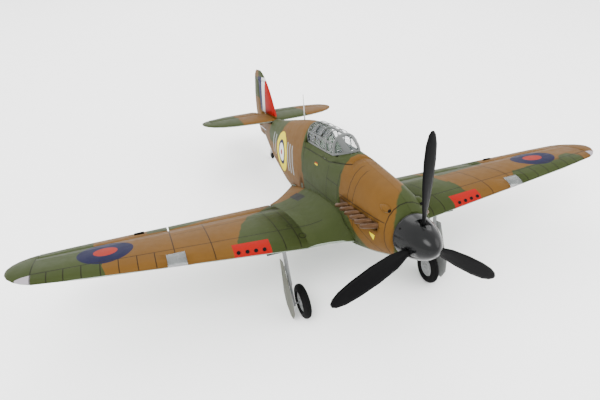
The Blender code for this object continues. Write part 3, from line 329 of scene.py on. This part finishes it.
# places in the level frame, metres
HEAVY_LINE = 0.0010                           # half widths of the panel lines
PANEL_LINE = 0.0009
FINE_LINE = 0.0008
WING_DISC = (0.4645, 0.2425)                  # span and chord of the wing disc's centre
BODY_DISC = (0.5350, 0.0130)                  # length and height of the fuselage disc's centre
SPAR_START, SPAR_SWEEP = 0.1815, 0.043        # the spar line across the wing
WING_RIB_PITCH = 0.0207
TAIL_RIB_PITCH = 0.0180
STRINGER_PITCH = 0.0125
RIB_LINES = (0.5555, 0.530, 0.5025, 0.473, 0.444, 0.414, 0.385)
FULL_LINES = (0.580, 0.2875, 0.1645, 0.137)
# a line's place, and where it starts and stops
UPRIGHT_LINES = ((0.1330, 0.020, 0.2), (0.1780, -0.2, 0.062), (0.2310, -0.045, 0.058),
                 (0.0070, -0.2, 0.2), (0.3650, -0.05, 0.072))
LENGTHWISE_LINES = ((0.0205, 0.010, 0.172), (-0.0060, 0.172, 0.365), (0.0330, 0.178, 0.231),
                    (0.0620, 0.238, 0.3715))


def wing_paint(name):
    paint, colour, tone = camouflage(name, "wing")
    top = paint.step(paint.up, 0.0, 0.02)
    spar = paint.math("MULTIPLY_ADD", paint.span, SPAR_SWEEP, SPAR_START)
    ahead = paint.math("LESS_THAN", paint.y, spar)
    # red gun patches
    front = paint.math("LESS_THAN", paint.y, paint.math("MULTIPLY_ADD", paint.span, 0.05, 0.1605))
    patch = paint.both(paint.within(paint.span, 0.1900, 0.2560), front)
    # wing-tip lights
    lamp = paint.both(paint.within(paint.span, 0.5790, 0.6040), paint.math("LESS_THAN", paint.y, 0.2045))
    lamp = paint.both(lamp, paint.within(paint.z, -0.038, -0.0195))
    # walkway
    walk = paint.both(paint.within(paint.x, -0.0813, -0.0638), paint.within(paint.y, 0.3180, 0.3790), top)
    ribs = paint.near(paint.span, RIB_LINES[0], PANEL_LINE)
    for at in RIB_LINES[1:]:
        ribs = paint.either(ribs, paint.near(paint.span, at, PANEL_LINE))
    ribs = paint.both(ribs, ahead)
    full = paint.near(paint.span, 0.3515, HEAVY_LINE)
    for at in FULL_LINES:
        full = paint.either(full, paint.near(paint.span, at, PANEL_LINE))
    full = paint.both(full, paint.math("LESS_THAN", paint.y,
                                       paint.math("MULTIPLY_ADD", paint.span, -0.12, 0.345)))
    across = paint.both(paint.near(paint.y, spar, HEAVY_LINE), paint.within(paint.span, 0.078, 0.581))
    rear = paint.near(paint.y, paint.math("MULTIPLY_ADD", paint.span, -0.10, 0.300), FINE_LINE)
    rear = paint.both(rear, paint.within(paint.span, 0.086, 0.345))
    groove = paint.either(ribs, full, across, rear)
    # round filler caps near the root
    for cx, cy, size in ((0.1275, 0.160, 0.0062), (0.1384, 0.2002, 0.0050)):
        distance = paint.distance(paint.span, paint.y, (cx, cy))
        groove = paint.either(groove, paint.near(distance, size, FINE_LINE))
    # a fine row of rivets beside the spar line
    beat = paint.math("PINGPONG", paint.span, 0.0035)
    row = paint.near(paint.y, paint.math("ADD", spar, 0.0035), 0.0006)
    rivets = paint.both(row, paint.math("LESS_THAN", beat, 0.0006),
                        paint.within(paint.span, 0.078, 0.575))
    groove = paint.either(groove, paint.math("MULTIPLY", rivets, 0.35))
    groove = paint.both(groove, top, paint.math("SUBTRACT", 1.0, patch))
    wave = paint.math("SINE", paint.math("MULTIPLY", paint.span, 2 * math.pi / WING_RIB_PITCH))
    rows = paint.math("MULTIPLY", paint.both(top, paint.math("GREATER_THAN", paint.y, spar)), wave)
    ribs_height = paint.math("MULTIPLY", rows, 0.10)
    under = paint.math("SUBTRACT", 1.0, paint.step(paint.up, -0.55, 0.04))
    discs = disc(paint, paint.span, paint.y, WING_DISC, colour, ((0.0470, BLUE), (0.0202, DISC_RED)))
    colour = paint.mix(paint.math("SUBTRACT", 1.0, under), colour, discs)
    colour = paint.mix(patch, colour, RED)
    colour = paint.mix(lamp, colour, (0.22, 0.20, 0.22))
    grit = paint.mix(paint.noise(500, 2.0), (0.005, 0.005, 0.005), (0.016, 0.016, 0.015))
    colour = paint.mix(walk, colour, grit)
    return finish_paint(paint, colour, tone, groove, -0.55, ribs=ribs_height)


def body_paint(name):
    paint, colour, tone = camouflage(name, "body")
    side = paint.math("SUBTRACT", 1.0, paint.step(paint.math("ABSOLUTE", paint.up), 0.93, 0.02))
    rings = ((0.0485, YELLOW), (0.0305, BLUE), (0.0222, WHITE), (0.0068, DISC_RED))
    marked = disc(paint, paint.y, paint.z, BODY_DISC, colour, rings)
    # plain bars ahead of the disc and behind it
    lean = paint.math("MULTIPLY_ADD", paint.z, -0.16, paint.y)
    tall = paint.within(paint.z, -0.0190, 0.0480)
    ahead = paint.either(paint.within(lean, 0.4340, 0.4420), paint.within(lean, 0.4530, 0.4610),
                         paint.within(lean, 0.4720, 0.4800))
    tall_rear = paint.within(paint.z, -0.0100, 0.0430)
    behind = paint.either(paint.within(paint.y, 0.5985, 0.6065), paint.within(paint.y, 0.6250, 0.6330))
    marked = paint.mix(paint.either(paint.both(ahead, tall), paint.both(behind, tall_rear)), marked,
                       GREY_BAR)
    # a yellow triangle under the exhausts and a small plain badge under the canopy
    depth = paint.math("SUBTRACT", -0.0095, paint.z)
    reach = paint.math("MULTIPLY_ADD", depth, -0.75, 0.0092)
    aside = paint.math("ABSOLUTE", paint.math("SUBTRACT", paint.y, 0.0430))
    triangle = paint.both(paint.math("LESS_THAN", aside, reach), paint.within(depth, 0.0, 0.0120))
    marked = paint.mix(triangle, marked, YELLOW)
    badge = paint.both(paint.within(paint.y, 0.2860, 0.3010), paint.within(paint.z, 0.0425, 0.0475))
    marked = paint.mix(badge, marked, paint.mix(paint.step(paint.z, 0.0450, 0.0002), YELLOW, DISC_RED))
    colour = paint.mix(side, colour, marked)
    # panel lines
    line = paint.near(paint.y, 0.1130, FINE_LINE)
    for at, low, high in UPRIGHT_LINES:
        line = paint.either(line, paint.both(paint.near(paint.y, at, PANEL_LINE),
                                             paint.within(paint.z, low, high)))
    line = paint.both(line, paint.math("GREATER_THAN", paint.z, -0.09))
    for at, low, high in LENGTHWISE_LINES:
        line = paint.either(line, paint.both(paint.near(paint.z, at, FINE_LINE),
                                             paint.within(paint.y, low, high)))
    slope = paint.math("MULTIPLY_ADD", paint.y, 0.34, -0.047)
    line = paint.either(line, paint.both(paint.near(paint.z, slope, PANEL_LINE),
                                         paint.within(paint.y, 0.010, 0.150)))
    seam = paint.math("MULTIPLY_ADD", paint.y, -0.15625, 0.0992)
    line = paint.either(line, paint.both(paint.near(paint.z, seam, PANEL_LINE),
                                         paint.within(paint.y, 0.158, 0.238)))
    groove = paint.both(line, side)
    rear = paint.step(paint.y, 0.385, 0.01)
    wave = paint.math("SINE", paint.math("MULTIPLY", paint.z, 2 * math.pi / STRINGER_PITCH))
    stringers = paint.math("MULTIPLY", wave, paint.math("MULTIPLY", rear, 0.16))
    return finish_paint(paint, colour, tone, groove, -0.72, ribs=stringers)


def tail_paint(name):
    paint, colour, tone = camouflage(name, "tail")
    rib = paint.math("SINE", paint.math("MULTIPLY", paint.span, 2 * math.pi / TAIL_RIB_PITCH))
    return finish_paint(paint, colour, tone, None, -0.35, ribs=paint.math("MULTIPLY", rib, 0.10))


def fin_paint(name):
    paint, colour, tone = camouflage(name, "fin")
    lean = paint.math("MULTIPLY_ADD", paint.z, 0.13, paint.y)
    tall = paint.both(paint.within(paint.z, 0.0660, 0.1640), paint.math("LESS_THAN", paint.y, 0.8435))
    flash = paint.mix(paint.step(lean, 0.7960, 0.0004), RED, WHITE)
    flash = paint.mix(paint.step(lean, 0.8250, 0.0004), flash, tuple(1.6 * c for c in BLUE))
    colour = paint.mix(tall, colour, flash)
    rib = paint.math("SINE", paint.math("MULTIPLY", paint.z, 2 * math.pi / TAIL_RIB_PITCH))
    return finish_paint(paint, colour, tone, None, -1.5, ribs=paint.math("MULTIPLY", rib, 0.08))


def plain(name, dark, light, roughness, metallic=0.0, scale=120, bump=0.0002, strength=0.25, gloss=0.3):
    """A moulded or machined surface with its own grain and tone."""
    paint = Paint(name, metallic=metallic)
    tone = paint.math("MULTIPLY_ADD", paint.noise(scale * 0.12, 3.0), 0.6,
                      paint.math("MULTIPLY", paint.noise(scale, 3.0), 0.4))
    paint.colour(paint.mix(tone, dark, light))
    paint.bump(paint.noise(scale * 6, 3.0), bump, strength)
    paint.roughness(*roughness, scale)
    paint.shader.inputs["Specular IOR Level"].default_value = gloss
    return paint.material


def door_paint(name):
    """Olive on the face that looks outboard, light grey on the face that looks at the wheel."""
    paint = Paint(name)
    paint.level_place()
    normal = paint.node("ShaderNodeSeparateXYZ", {0: paint.coordinates.outputs["Normal"]}).outputs[0]
    outboard = paint.math("GREATER_THAN", paint.math("MULTIPLY", normal, paint.x), 0.0)
    tone = paint.noise(90, 3.0)
    paint.colour(paint.mix(outboard, paint.mix(tone, (0.15, 0.155, 0.15), (0.21, 0.215, 0.21)),
                           paint.mix(tone, (0.040, 0.041, 0.028), (0.062, 0.063, 0.044))))
    paint.bump(paint.noise(700, 3.0), 0.0002, 0.25)
    paint.roughness(0.45, 0.6, 90)
    paint.shader.inputs["Specular IOR Level"].default_value = 0.15
    return paint.material


def clear(name, tint, transmission, roughness, alpha):
    paint = Paint(name, roughness)
    haze = paint.noise(45, 3.0)
    paint.colour(paint.mix(haze, tuple(0.94 * c for c in tint), tint))
    paint.shader.inputs["Transmission Weight"].default_value = transmission
    paint.shader.inputs["IOR"].default_value = 1.30
    paint.shader.inputs["Alpha"].default_value = alpha
    paint.roughness(roughness, roughness + 0.08, 60)
    return paint.material


def woven(name, dark, light, size):
    """Carbon cloth: a two-by-two check of tows."""
    paint = Paint(name, 0.3)
    check = paint.node("ShaderNodeTexChecker",
                       {"Scale": size, "Vector": paint.coordinates.outputs["Object"]})
    paint.colour(paint.mix(check.outputs["Fac"], dark, light))
    paint.bump(check.outputs["Fac"], 0.0001, 0.3)
    paint.roughness(0.25, 0.4, 200)
    return paint.material


M = {
    "wing": wing_paint("camouflage_wing"),
    "body": body_paint("camouflage_body"),
    "tail": tail_paint("camouflage_tail"),
    "fin": fin_paint("camouflage_fin"),
    "gloss_black": plain("gloss_black", (0.0030, 0.0032, 0.0034), (0.0055, 0.0058, 0.0060), (0.16, 0.24),
                         strength=0.05, gloss=0.13),
    "satin_black": plain("satin_black", (0.0016, 0.0016, 0.0018), (0.0036, 0.0036, 0.0038), (0.40, 0.50),
                         strength=0.15, gloss=0.03),
    "rubber": plain("tyre_rubber_black", (0.0020, 0.0020, 0.0020), (0.0055, 0.0055, 0.0055),
                    (0.65, 0.85), scale=200, strength=0.4, gloss=0.06),
    "leg_grey": plain("leg_grey", (0.13, 0.135, 0.135), (0.20, 0.205, 0.205), (0.35, 0.5)),
    "hub_grey": plain("hub_grey", (0.15, 0.155, 0.155), (0.22, 0.225, 0.225), (0.35, 0.5)),
    "door_olive": door_paint("door_olive_and_grey"),
    "frame_silver": plain("frame_silver", (0.045, 0.049, 0.047), (0.075, 0.079, 0.077), (0.35, 0.5),
                          gloss=0.15),
    "mast_white": plain("mast_white", (0.30, 0.30, 0.29), (0.40, 0.40, 0.39), (0.4, 0.55)),
    "steel": plain("bright_steel", (0.28, 0.28, 0.29), (0.40, 0.40, 0.41), (0.22, 0.38), metallic=1.0),
    "aluminium": plain("machined_aluminium", (0.38, 0.39, 0.40), (0.50, 0.51, 0.52), (0.25, 0.4),
                       metallic=1.0),
    "bronze": plain("exhaust_bronze_paint", (0.022, 0.0105, 0.0045), (0.075, 0.036, 0.014), (0.32, 0.5),
                    metallic=0.35, scale=160, gloss=0.1),
    # near-black standing for the shade inside bores, mouths and screw holes: painted shade
    "hole_shade": plain("painted_hole_shade", (0.0015, 0.0015, 0.0015), (0.0045, 0.0042, 0.0040), (0.8, 0.95),
                  gloss=0.08),
    "carbon": woven("carbon_cloth", (0.005, 0.005, 0.0055), (0.015, 0.015, 0.016), 420),
    "wrap": plain("battery_wrap", (0.008, 0.024, 0.11), (0.013, 0.038, 0.15), (0.2, 0.35)),
    "electronics": plain("servo_case", (0.0050, 0.0050, 0.0060), (0.013, 0.013, 0.015), (0.35, 0.5)),
    "cockpit": plain("cockpit_green", (0.045, 0.078, 0.040), (0.066, 0.108, 0.058), (0.5, 0.65),
                     gloss=0.15),
    "panel_black": plain("panel_black", (0.0030, 0.0030, 0.0034), (0.0080, 0.0080, 0.0085), (0.4, 0.55),
                         gloss=0.12),
    "glass": clear("canopy_clear", (0.20, 0.23, 0.23), 0.30, 0.08, 0.15),
    "lens": clear("lamp_lens", (0.15, 0.16, 0.16), 0.15, 0.10, 0.62),
    "dial": plain("dial_white", (0.25, 0.25, 0.24), (0.34, 0.34, 0.32), (0.4, 0.5)),
}


# ---------------------------------------------------------------- mesh tools
def piece(name, bm, material, body, angle=38, replace=()):
    """A mesh in the row frame becomes a piece that rides on a body."""
    mesh = bpy.data.meshes.new(name)
    bmesh.ops.recalc_face_normals(bm, faces=bm.faces)
    bm.to_mesh(mesh)
    bm.free()
    mesh.shade_smooth()
    mesh.set_sharp_from_angle(angle=math.radians(angle))
    made = bpy.data.objects.new(name, mesh)
    mesh.materials.append(material)
    bpy.context.scene.collection.objects.link(made)
    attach(made, body)
    if replace:
        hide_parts(*replace)
    return made


MERGE = 0.00003                               # points closer than this are one point


def refine(node, material, angle=32, bevel=0.0):
    """A smooth-shaded copy of a CAD node's shape, with doubled points merged; a bevel eases its edges."""
    bm = bmesh.new()
    bm.from_mesh(NODES[node].data)
    bmesh.ops.remove_doubles(bm, verts=bm.verts, dist=MERGE)
    bmesh.ops.dissolve_degenerate(bm, dist=MERGE, edges=bm.edges)
    made = piece(f"{node}_skin", bm, material, NODES[node]["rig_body"], angle, (node,))
    if bevel:
        ease = made.modifiers.new("ease", "BEVEL")
        ease.width = bevel
        ease.segments = 2
        ease.limit_method = "ANGLE"
        ease.angle_limit = math.radians(40)
        ease.harden_normals = True
    return made


def ring_of(centre, axis, radius, count):
    axis = Vector(axis).normalized()
    side = axis.orthogonal().normalized()
    other = axis.cross(side)
    turns = [2 * math.pi * k / count for k in range(count)]
    return [centre + radius * (math.cos(turn) * side + math.sin(turn) * other) for turn in turns]


def bridge(bm, rings, loop=False):
    """Skins a row of rings; the two ends are capped unless the row is a loop."""
    rows = [[bm.verts.new(p) for p in ring] for ring in rings]
    pairs = list(zip(rows, rows[1:])) + ([(rows[-1], rows[0])] if loop else [])
    for near, far in pairs:
        for k in range(len(near)):
            n = (k + 1) % len(near)
            bm.faces.new((near[k], near[n], far[n], far[k]))
    if not loop:
        bm.faces.new(rows[0][::-1])
        bm.faces.new(rows[-1])
    return bm


def turned(bm, profile, centre, axis, count, loop=False):
    """Turns (along, radius) points about an axis, into bm."""
    rings = [ring_of(centre + axis * along, axis, radius, count) for along, radius in profile]
    return bridge(bm, rings, loop)


def rounded_box(bm, low, high, ease):
    """A box in the level frame with eased edges."""
    made = bmesh.ops.create_cube(bm, size=1)["verts"]
    low, high = Vector(low), Vector(high)
    for vertex in made:
        vertex.co = Vector([low[i] + (high[i] - low[i]) * (vertex.co[i] + 0.5) for i in range(3)])
    edges = list({edge for vertex in made for edge in vertex.link_edges})
    bevelled = bmesh.ops.bevel(bm, geom=edges, offset=ease, segments=3, affect="EDGES", profile=0.5)
    touched = {vertex for face in bevelled["faces"] for vertex in face.verts}
    touched |= {vertex for vertex in made if vertex.is_valid}
    for vertex in touched:
        vertex.co = LEVEL @ vertex.co
    return bm


# ---------------------------------------------------------------- painted foam
for node in ("wing_left", "wing_right", "aileron_left", "aileron_right", "flap_left", "flap_right"):
    refine(node, M["wing"])
for node in ("fuselage_left", "fuselage_right", "hatch_deck", "radiator_scoop"):
    refine(node, M["body"])
for node in ("stabiliser", "elevator_left", "elevator_right"):
    refine(node, M["tail"])
for node in ("fin", "rudder"):
    refine(node, M["fin"])

# ---------------------------------------------------------------- plain refinements
refine("spinner", M["gloss_black"], angle=40)
refine("spinner_backplate", M["gloss_black"], angle=40)
refine("propeller", M["satin_black"], angle=60)
refine("canopy_frame", M["frame_silver"], angle=40)
refine("canopy_glazing", M["glass"], angle=40)
refine("antenna_mast", M["mast_white"], angle=50)
for side in ("left", "right"):
    refine(f"landing_light_{side}", M["lens"], angle=40)
    refine(f"gear_leg_{side}", M["leg_grey"], angle=35)
    refine(f"gear_door_{side}", M["door_olive"], angle=30, bevel=0.0004)
    refine(f"retract_unit_{side}", M["electronics"], angle=30, bevel=0.0004)

PLAIN = {
    "electronics": ("servo_elevator", "servo_rudder", "servo_aileron_left", "servo_aileron_right",
                    "servo_flap_left", "servo_flap_right", "receiver", "speed_controller"),
    "steel": ("elevator_joiner", "pushrod_elevator", "pushrod_rudder", "tail_fork", "prop_nut",
              "motor_stator"),
    "aluminium": ("motor_bell", "motor_mount"),
    "carbon": ("firewall", "equipment_tray", "wing_spar"),
    "wrap": ("battery",),
    "hub_grey": ("servo_arm_elevator", "servo_arm_rudder"),
    "panel_black": ("instrument_panel",),
    "cockpit": ("cockpit_tub",),
}
for material, names in PLAIN.items():
    for node in names:
        refine(node, M[material], angle=30)


# ---------------------------------------------------------------- wheels
TREAD = [(-0.0040, 0.0199), (-0.0066, 0.0215), (-0.0079, 0.0245), (-0.0077, 0.0275),
         (-0.0067, 0.0306), (-0.0050, 0.0328), (-0.0033, 0.0338), (-0.0030, 0.0331),
         (-0.0024, 0.0331), (-0.0021, 0.03425), (-0.0006, 0.0345), (-0.0003, 0.0337),
         (0.0003, 0.0337), (0.0006, 0.0345), (0.0021, 0.03425), (0.0024, 0.0331), (0.0030, 0.0331),
         (0.0033, 0.0338), (0.0050, 0.0328), (0.0067, 0.0306), (0.0077, 0.0275), (0.0079, 0.0245),
         (0.0066, 0.0215), (0.0040, 0.0199)]
HUB = [(-0.0062, 0.0021), (-0.0062, 0.0056), (-0.0054, 0.0062), (-0.0040, 0.0070),
       (-0.0032, 0.0090), (-0.0030, 0.0150), (-0.0042, 0.0164), (-0.0046, 0.0185),
       (-0.0040, 0.0196), (0.0040, 0.0196), (0.0046, 0.0185), (0.0042, 0.0164), (0.0030, 0.0150),
       (0.0032, 0.0090), (0.0040, 0.0070), (0.0054, 0.0062), (0.0062, 0.0056), (0.0062, 0.0021)]
TAIL_TREAD = [(-0.0034, 0.0016), (-0.0034, 0.0070), (-0.0033, 0.0095), (-0.0028, 0.0112),
              (-0.0018, 0.0121), (-0.0008, 0.0125), (0.0008, 0.0125), (0.0018, 0.0121),
              (0.0028, 0.0112), (0.0033, 0.0095), (0.0034, 0.0070), (0.0034, 0.0016)]
BOLT = ((0, 0.0016), (0.0010, 0.0016), (0.0013, 0.0012))
WHEEL_STEPS = 72
for side in ("left", "right"):
    spin = JOINTS[f"wheel_{side}_spin"]
    centre, axis = Vector(spin["pos_m"]), Vector(spin["axis"]).normalized()
    body = f"wheel_{side}"
    piece(f"tyre_{side}_moulded", turned(bmesh.new(), TREAD, centre, axis, WHEEL_STEPS, True),
          M["rubber"], body, 50, (f"tyre_{side}",))
    bm = turned(bmesh.new(), HUB, centre, axis, WHEEL_STEPS, True)
    for face in (-1, 1):
        for k in range(6):
            spot = ring_of(centre + axis * face * 0.0028, axis, 0.0122, 6)[k]
            turned(bm, [(face * along, radius) for along, radius in BOLT], spot, axis, 12)
    piece(f"wheel_hub_{side}_cast", bm, M["hub_grey"], body, 35, (f"wheel_hub_{side}",))
spin = JOINTS["tail_wheel_spin"]
bm = turned(bmesh.new(), TAIL_TREAD, Vector(spin["pos_m"]), Vector(spin["axis"]).normalized(), 48, True)
piece("tail_wheel_moulded", bm, M["rubber"], "tail_wheel", 50, ("tail_wheel",))


# ---------------------------------------------------------------- exhausts
PIPES = 6
FIRST_PIPE, PIPE_PITCH = 0.0260, 0.0212       # along the cowl


def exhausts(side, suffix):
    """Six curved ejector pipes on a base strip; each is open, with a dark plug deep in its bore as
    painted shade.
    """
    bm = bmesh.new()
    inner = bmesh.new()
    for k in range(PIPES):
        y = FIRST_PIPE + PIPE_PITCH * k
        aft = k / (PIPES - 1)
        wall = 0.0395 + 0.0060 * aft
        reach = 0.0200 - 0.0080 * aft
        path = [(wall - 0.004, y, 0.0108), (wall + 0.20 * reach, y + 0.0015, 0.0107),
                (wall + 0.55 * reach, y + 0.0055, 0.0102), (wall + 0.80 * reach, y + 0.0115, 0.0086),
                (wall + 0.93 * reach, y + 0.0180, 0.0066), (wall + reach, y + 0.0250, 0.0046)]
        centres = [to_world((side * a, b, c)) for a, b, c in path]
        rings, bores = [], []
        for i, centre in enumerate(centres):
            ahead = centres[min(i + 1, 5)] - centres[max(i - 1, 0)]
            up = TURN @ Vector((0, 0, 1))
            across = ahead.cross(up).normalized()
            tall, wide = 0.0050 - 0.0002 * i, 0.0044 - 0.00012 * i
            for group, scale in ((rings, 1.0), (bores, 0.80)):
                group.append([centre + across * wide * scale * math.cos(a)
                              + up * tall * scale * math.sin(a)
                              for a in [2 * math.pi * n / 20 for n in range(20)]])
        end = centres[-1] - centres[-2]
        bores = bores[3:]
        bridge(bm, rings + [[p + end * 0.02 for p in bores[-1]]] + bores[::-1])
        # a short dark plug inside each pipe: painted shade in the bore
        bridge(inner, [[p - end * 0.05 for p in bores[1]], [p + end * 0.05 for p in bores[1]]])
    rings = []
    for y in [0.026 + 0.142 * k / 12 for k in range(13)]:
        out = 0.0375 + 0.0075 * min(1, max(0, (y - 0.02) / 0.12))
        section = ((out - 0.003, 0.0), (out + 0.0015, 0.0015), (out + 0.0015, 0.0125),
                   (out - 0.003, 0.014))
        rings.append([to_world((side * a, y, c)) for a, c in section])
    bridge(bm, rings)
    piece(f"exhausts_{suffix}_pipes", bm, M["bronze"], "airframe", 40,
          (f"exhausts_{suffix}",))
    piece(f"exhausts_{suffix}_bores", inner, M["hole_shade"], "airframe", 40)


for suffix, side in (("left", 1), ("right", -1)):
    exhausts(side, suffix)


# ---------------------------------------------------------------- small fittings
def tree_of(node):
    mesh = NODES[node].data
    return BVHTree.FromPolygons([v.co.copy() for v in mesh.vertices],
                                [tuple(p.vertices) for p in mesh.polygons])


PORT = ((0.003, 0.0036), (-0.0005, 0.0036), (-0.0007, 0.0034), (-0.0005, 0.0031), (0.0030, 0.0031))
GUN_SPANS = (0.2025, 0.2175, 0.2325, 0.2480)
DIHEDRAL = math.radians(3.5)
for suffix, side in (("left", 1), ("right", -1)):
    ports, bores = bmesh.new(), bmesh.new()
    wing_tree = tree_of(f"wing_{suffix}")
    for x in GUN_SPANS:
        height = -0.0500 + (x - 0.125) * math.tan(DIHEDRAL)
        start = to_world((side * x, 0.0890 + 0.0914 * x, height))
        place, normal = wing_tree.ray_cast(start, TURN @ Vector((0, 1, 0)))[:2]
        aim = -normal
        place += normal * 0.0003
        turned(ports, PORT, place, aim, 28)
        # a dark disc inside each port ring: painted shade of the bore
        turned(bores, ((-0.0001, 0.0032), (0.0020, 0.0032)), place, aim, 24)
    piece(f"gun_ports_{suffix}", ports, M["panel_black"], "airframe", 40)
    piece(f"gun_bores_{suffix}", bores, M["hole_shade"], "airframe", 40)
    plate = bmesh.new()
    rounded_box(plate, (side * 0.4057 - 0.0095, 0.3230, -0.0412),
                (side * 0.4057 + 0.0095, 0.3288, -0.0352), 0.0010)
    piece(f"horn_plate_{suffix}", plate, M["satin_black"], f"aileron_{suffix}", 40)

# cowl blisters: a long drop on the shoulder of the cowl; its mouth is a small dark drop, painted shade of
# the opening
for suffix, side in (("left", 1), ("right", -1)):
    out = Vector((side * 0.72, -0.25, 0.65)).normalized()
    along = (Vector((0, 1, 0)) - out * out.y).normalized()
    across = out.cross(along)
    for name, start, length, width, height, paint in (("blister", 0.0, 0.0125, 0.0060, 0.0062, "body"),
                                                      ("mouth", -0.0096, 0.0030, 0.0032, 0.0036, "hole_shade")):
        bm = bmesh.new()
        for vertex in bmesh.ops.create_uvsphere(bm, u_segments=28, v_segments=16, radius=1)["verts"]:
            a, b, c = vertex.co
            taper = 1 - 0.35 * max(0, b)
            spot = Vector((side * 0.0301, 0.0208, 0.0403)) + along * (start + b * length)
            vertex.co = to_world(spot + across * (a * width * taper) + out * (c * height * taper))
        piece(f"cowl_{name}_{suffix}", bm, M[paint], "airframe", 60)

# spinner screws: small dark discs, painted shade in the screw holes
bm = bmesh.new()
BLADES = 3
BLADE_TURN = 0.113                            # how far the blades stand from upright, radians
for k in range(BLADES):
    angle = math.radians(60 + 120 * k) + BLADE_TURN
    out = Vector((math.sin(angle), 0, math.cos(angle)))
    for y, radius in ((-0.0200, 0.0352), (-0.0560, 0.0232)):
        spot = to_world(out * radius + Vector((0, y, 0)))
        normal = TURN @ (out + Vector((0, -0.25 if y > -0.03 else -0.75, 0))).normalized()
        turned(bm, ((-0.003, 0.0016), (0.0001, 0.0016), (0.0003, 0.0010)), spot, normal, 16)
piece("spinner_screws", bm, M["hole_shade"], "power_train", 40)

# cockpit: dials and harness straps
bm = bmesh.new()
for x, z in ((-0.014, 0.070), (-0.005, 0.074), (0.005, 0.074), (0.014, 0.070), (-0.010, 0.0635),
             (0.0, 0.0645), (0.010, 0.0635)):
    spot = to_world((x, 0.2320, z))
    back = TURN @ Vector((0, 1, 0))
    turned(bm, ((-0.0004, 0.0033), (0.0004, 0.0033), (0.0006, 0.0028)), spot, back, 20)
piece("dials", bm, M["dial"], "hatch", 40)
bm = bmesh.new()
for x in (-0.0065, 0.0035):
    rounded_box(bm, (x, 0.3258, 0.0560), (x + 0.0030, 0.3272, 0.0850), 0.0004)
piece("harness", bm, M["dial"], "hatch", 40)


# ---------------------------------------------------------------- stage, light and camera
def stage_material(name, colour, roughness):
    paint = Paint(name, roughness)
    paint.colour(paint.mix(paint.noise(3, 2.0), tuple(0.985 * c for c in colour), colour))
    return paint.material


bm = bmesh.new()
bmesh.ops.create_grid(bm, x_segments=1, y_segments=1, size=14)
mesh = bpy.data.meshes.new("floor")
bm.to_mesh(mesh)
bm.free()
floor = bpy.data.objects.new("floor", mesh)
mesh.materials.append(stage_material("floor_white", (0.97, 0.97, 0.97), 0.9))
bpy.context.scene.collection.objects.link(floor)


def lamp(name, place, target, size, power):
    data = bpy.data.lights.new(name, "AREA")
    data.shape = "DISK"
    data.size = size
    data.energy = power
    made = bpy.data.objects.new(name, data)
    made.location = place
    made.rotation_euler = (Vector(target) - Vector(place)).to_track_quat("-Z", "Y").to_euler()
    bpy.context.scene.collection.objects.link(made)
    return made


lamp("key", (-1.6, -1.9, 3.0), (0, 0, 0.2), 1.8, 120)
lamp("fill", (2.4, -1.6, 1.8), (0, 0, 0.2), 2.2, 46)
lamp("back", (0.4, 2.6, 2.6), (0, 0, 0.2), 2.2, 52)

world = bpy.data.worlds.new("studio")
world.use_nodes = True
world.node_tree.nodes["Background"].inputs["Color"].default_value = (1, 1, 1, 1)
world.node_tree.nodes["Background"].inputs["Strength"].default_value = 2.9
bpy.context.scene.world = world

CAMERA_PLACE = (-0.3774, -0.9779, 0.7291)     # in the row frame
camera = bpy.data.objects.new("camera", bpy.data.cameras.new("camera"))
right, up, ahead = ((0.93409, -0.35688, -0.01112), (0.19658, 0.48804, 0.85039),
                    (0.29806, 0.79653, -0.52603))
turn = Matrix((right, up, tuple(-c for c in ahead))).transposed()
camera.matrix_world = Matrix.Translation(CAMERA_PLACE) @ turn.to_4x4()
camera.data.lens = 30.745
camera.data.sensor_width = 36
camera.data.shift_x = -0.0156
camera.data.shift_y = -0.0148
bpy.context.scene.collection.objects.link(camera)
bpy.context.scene.camera = camera
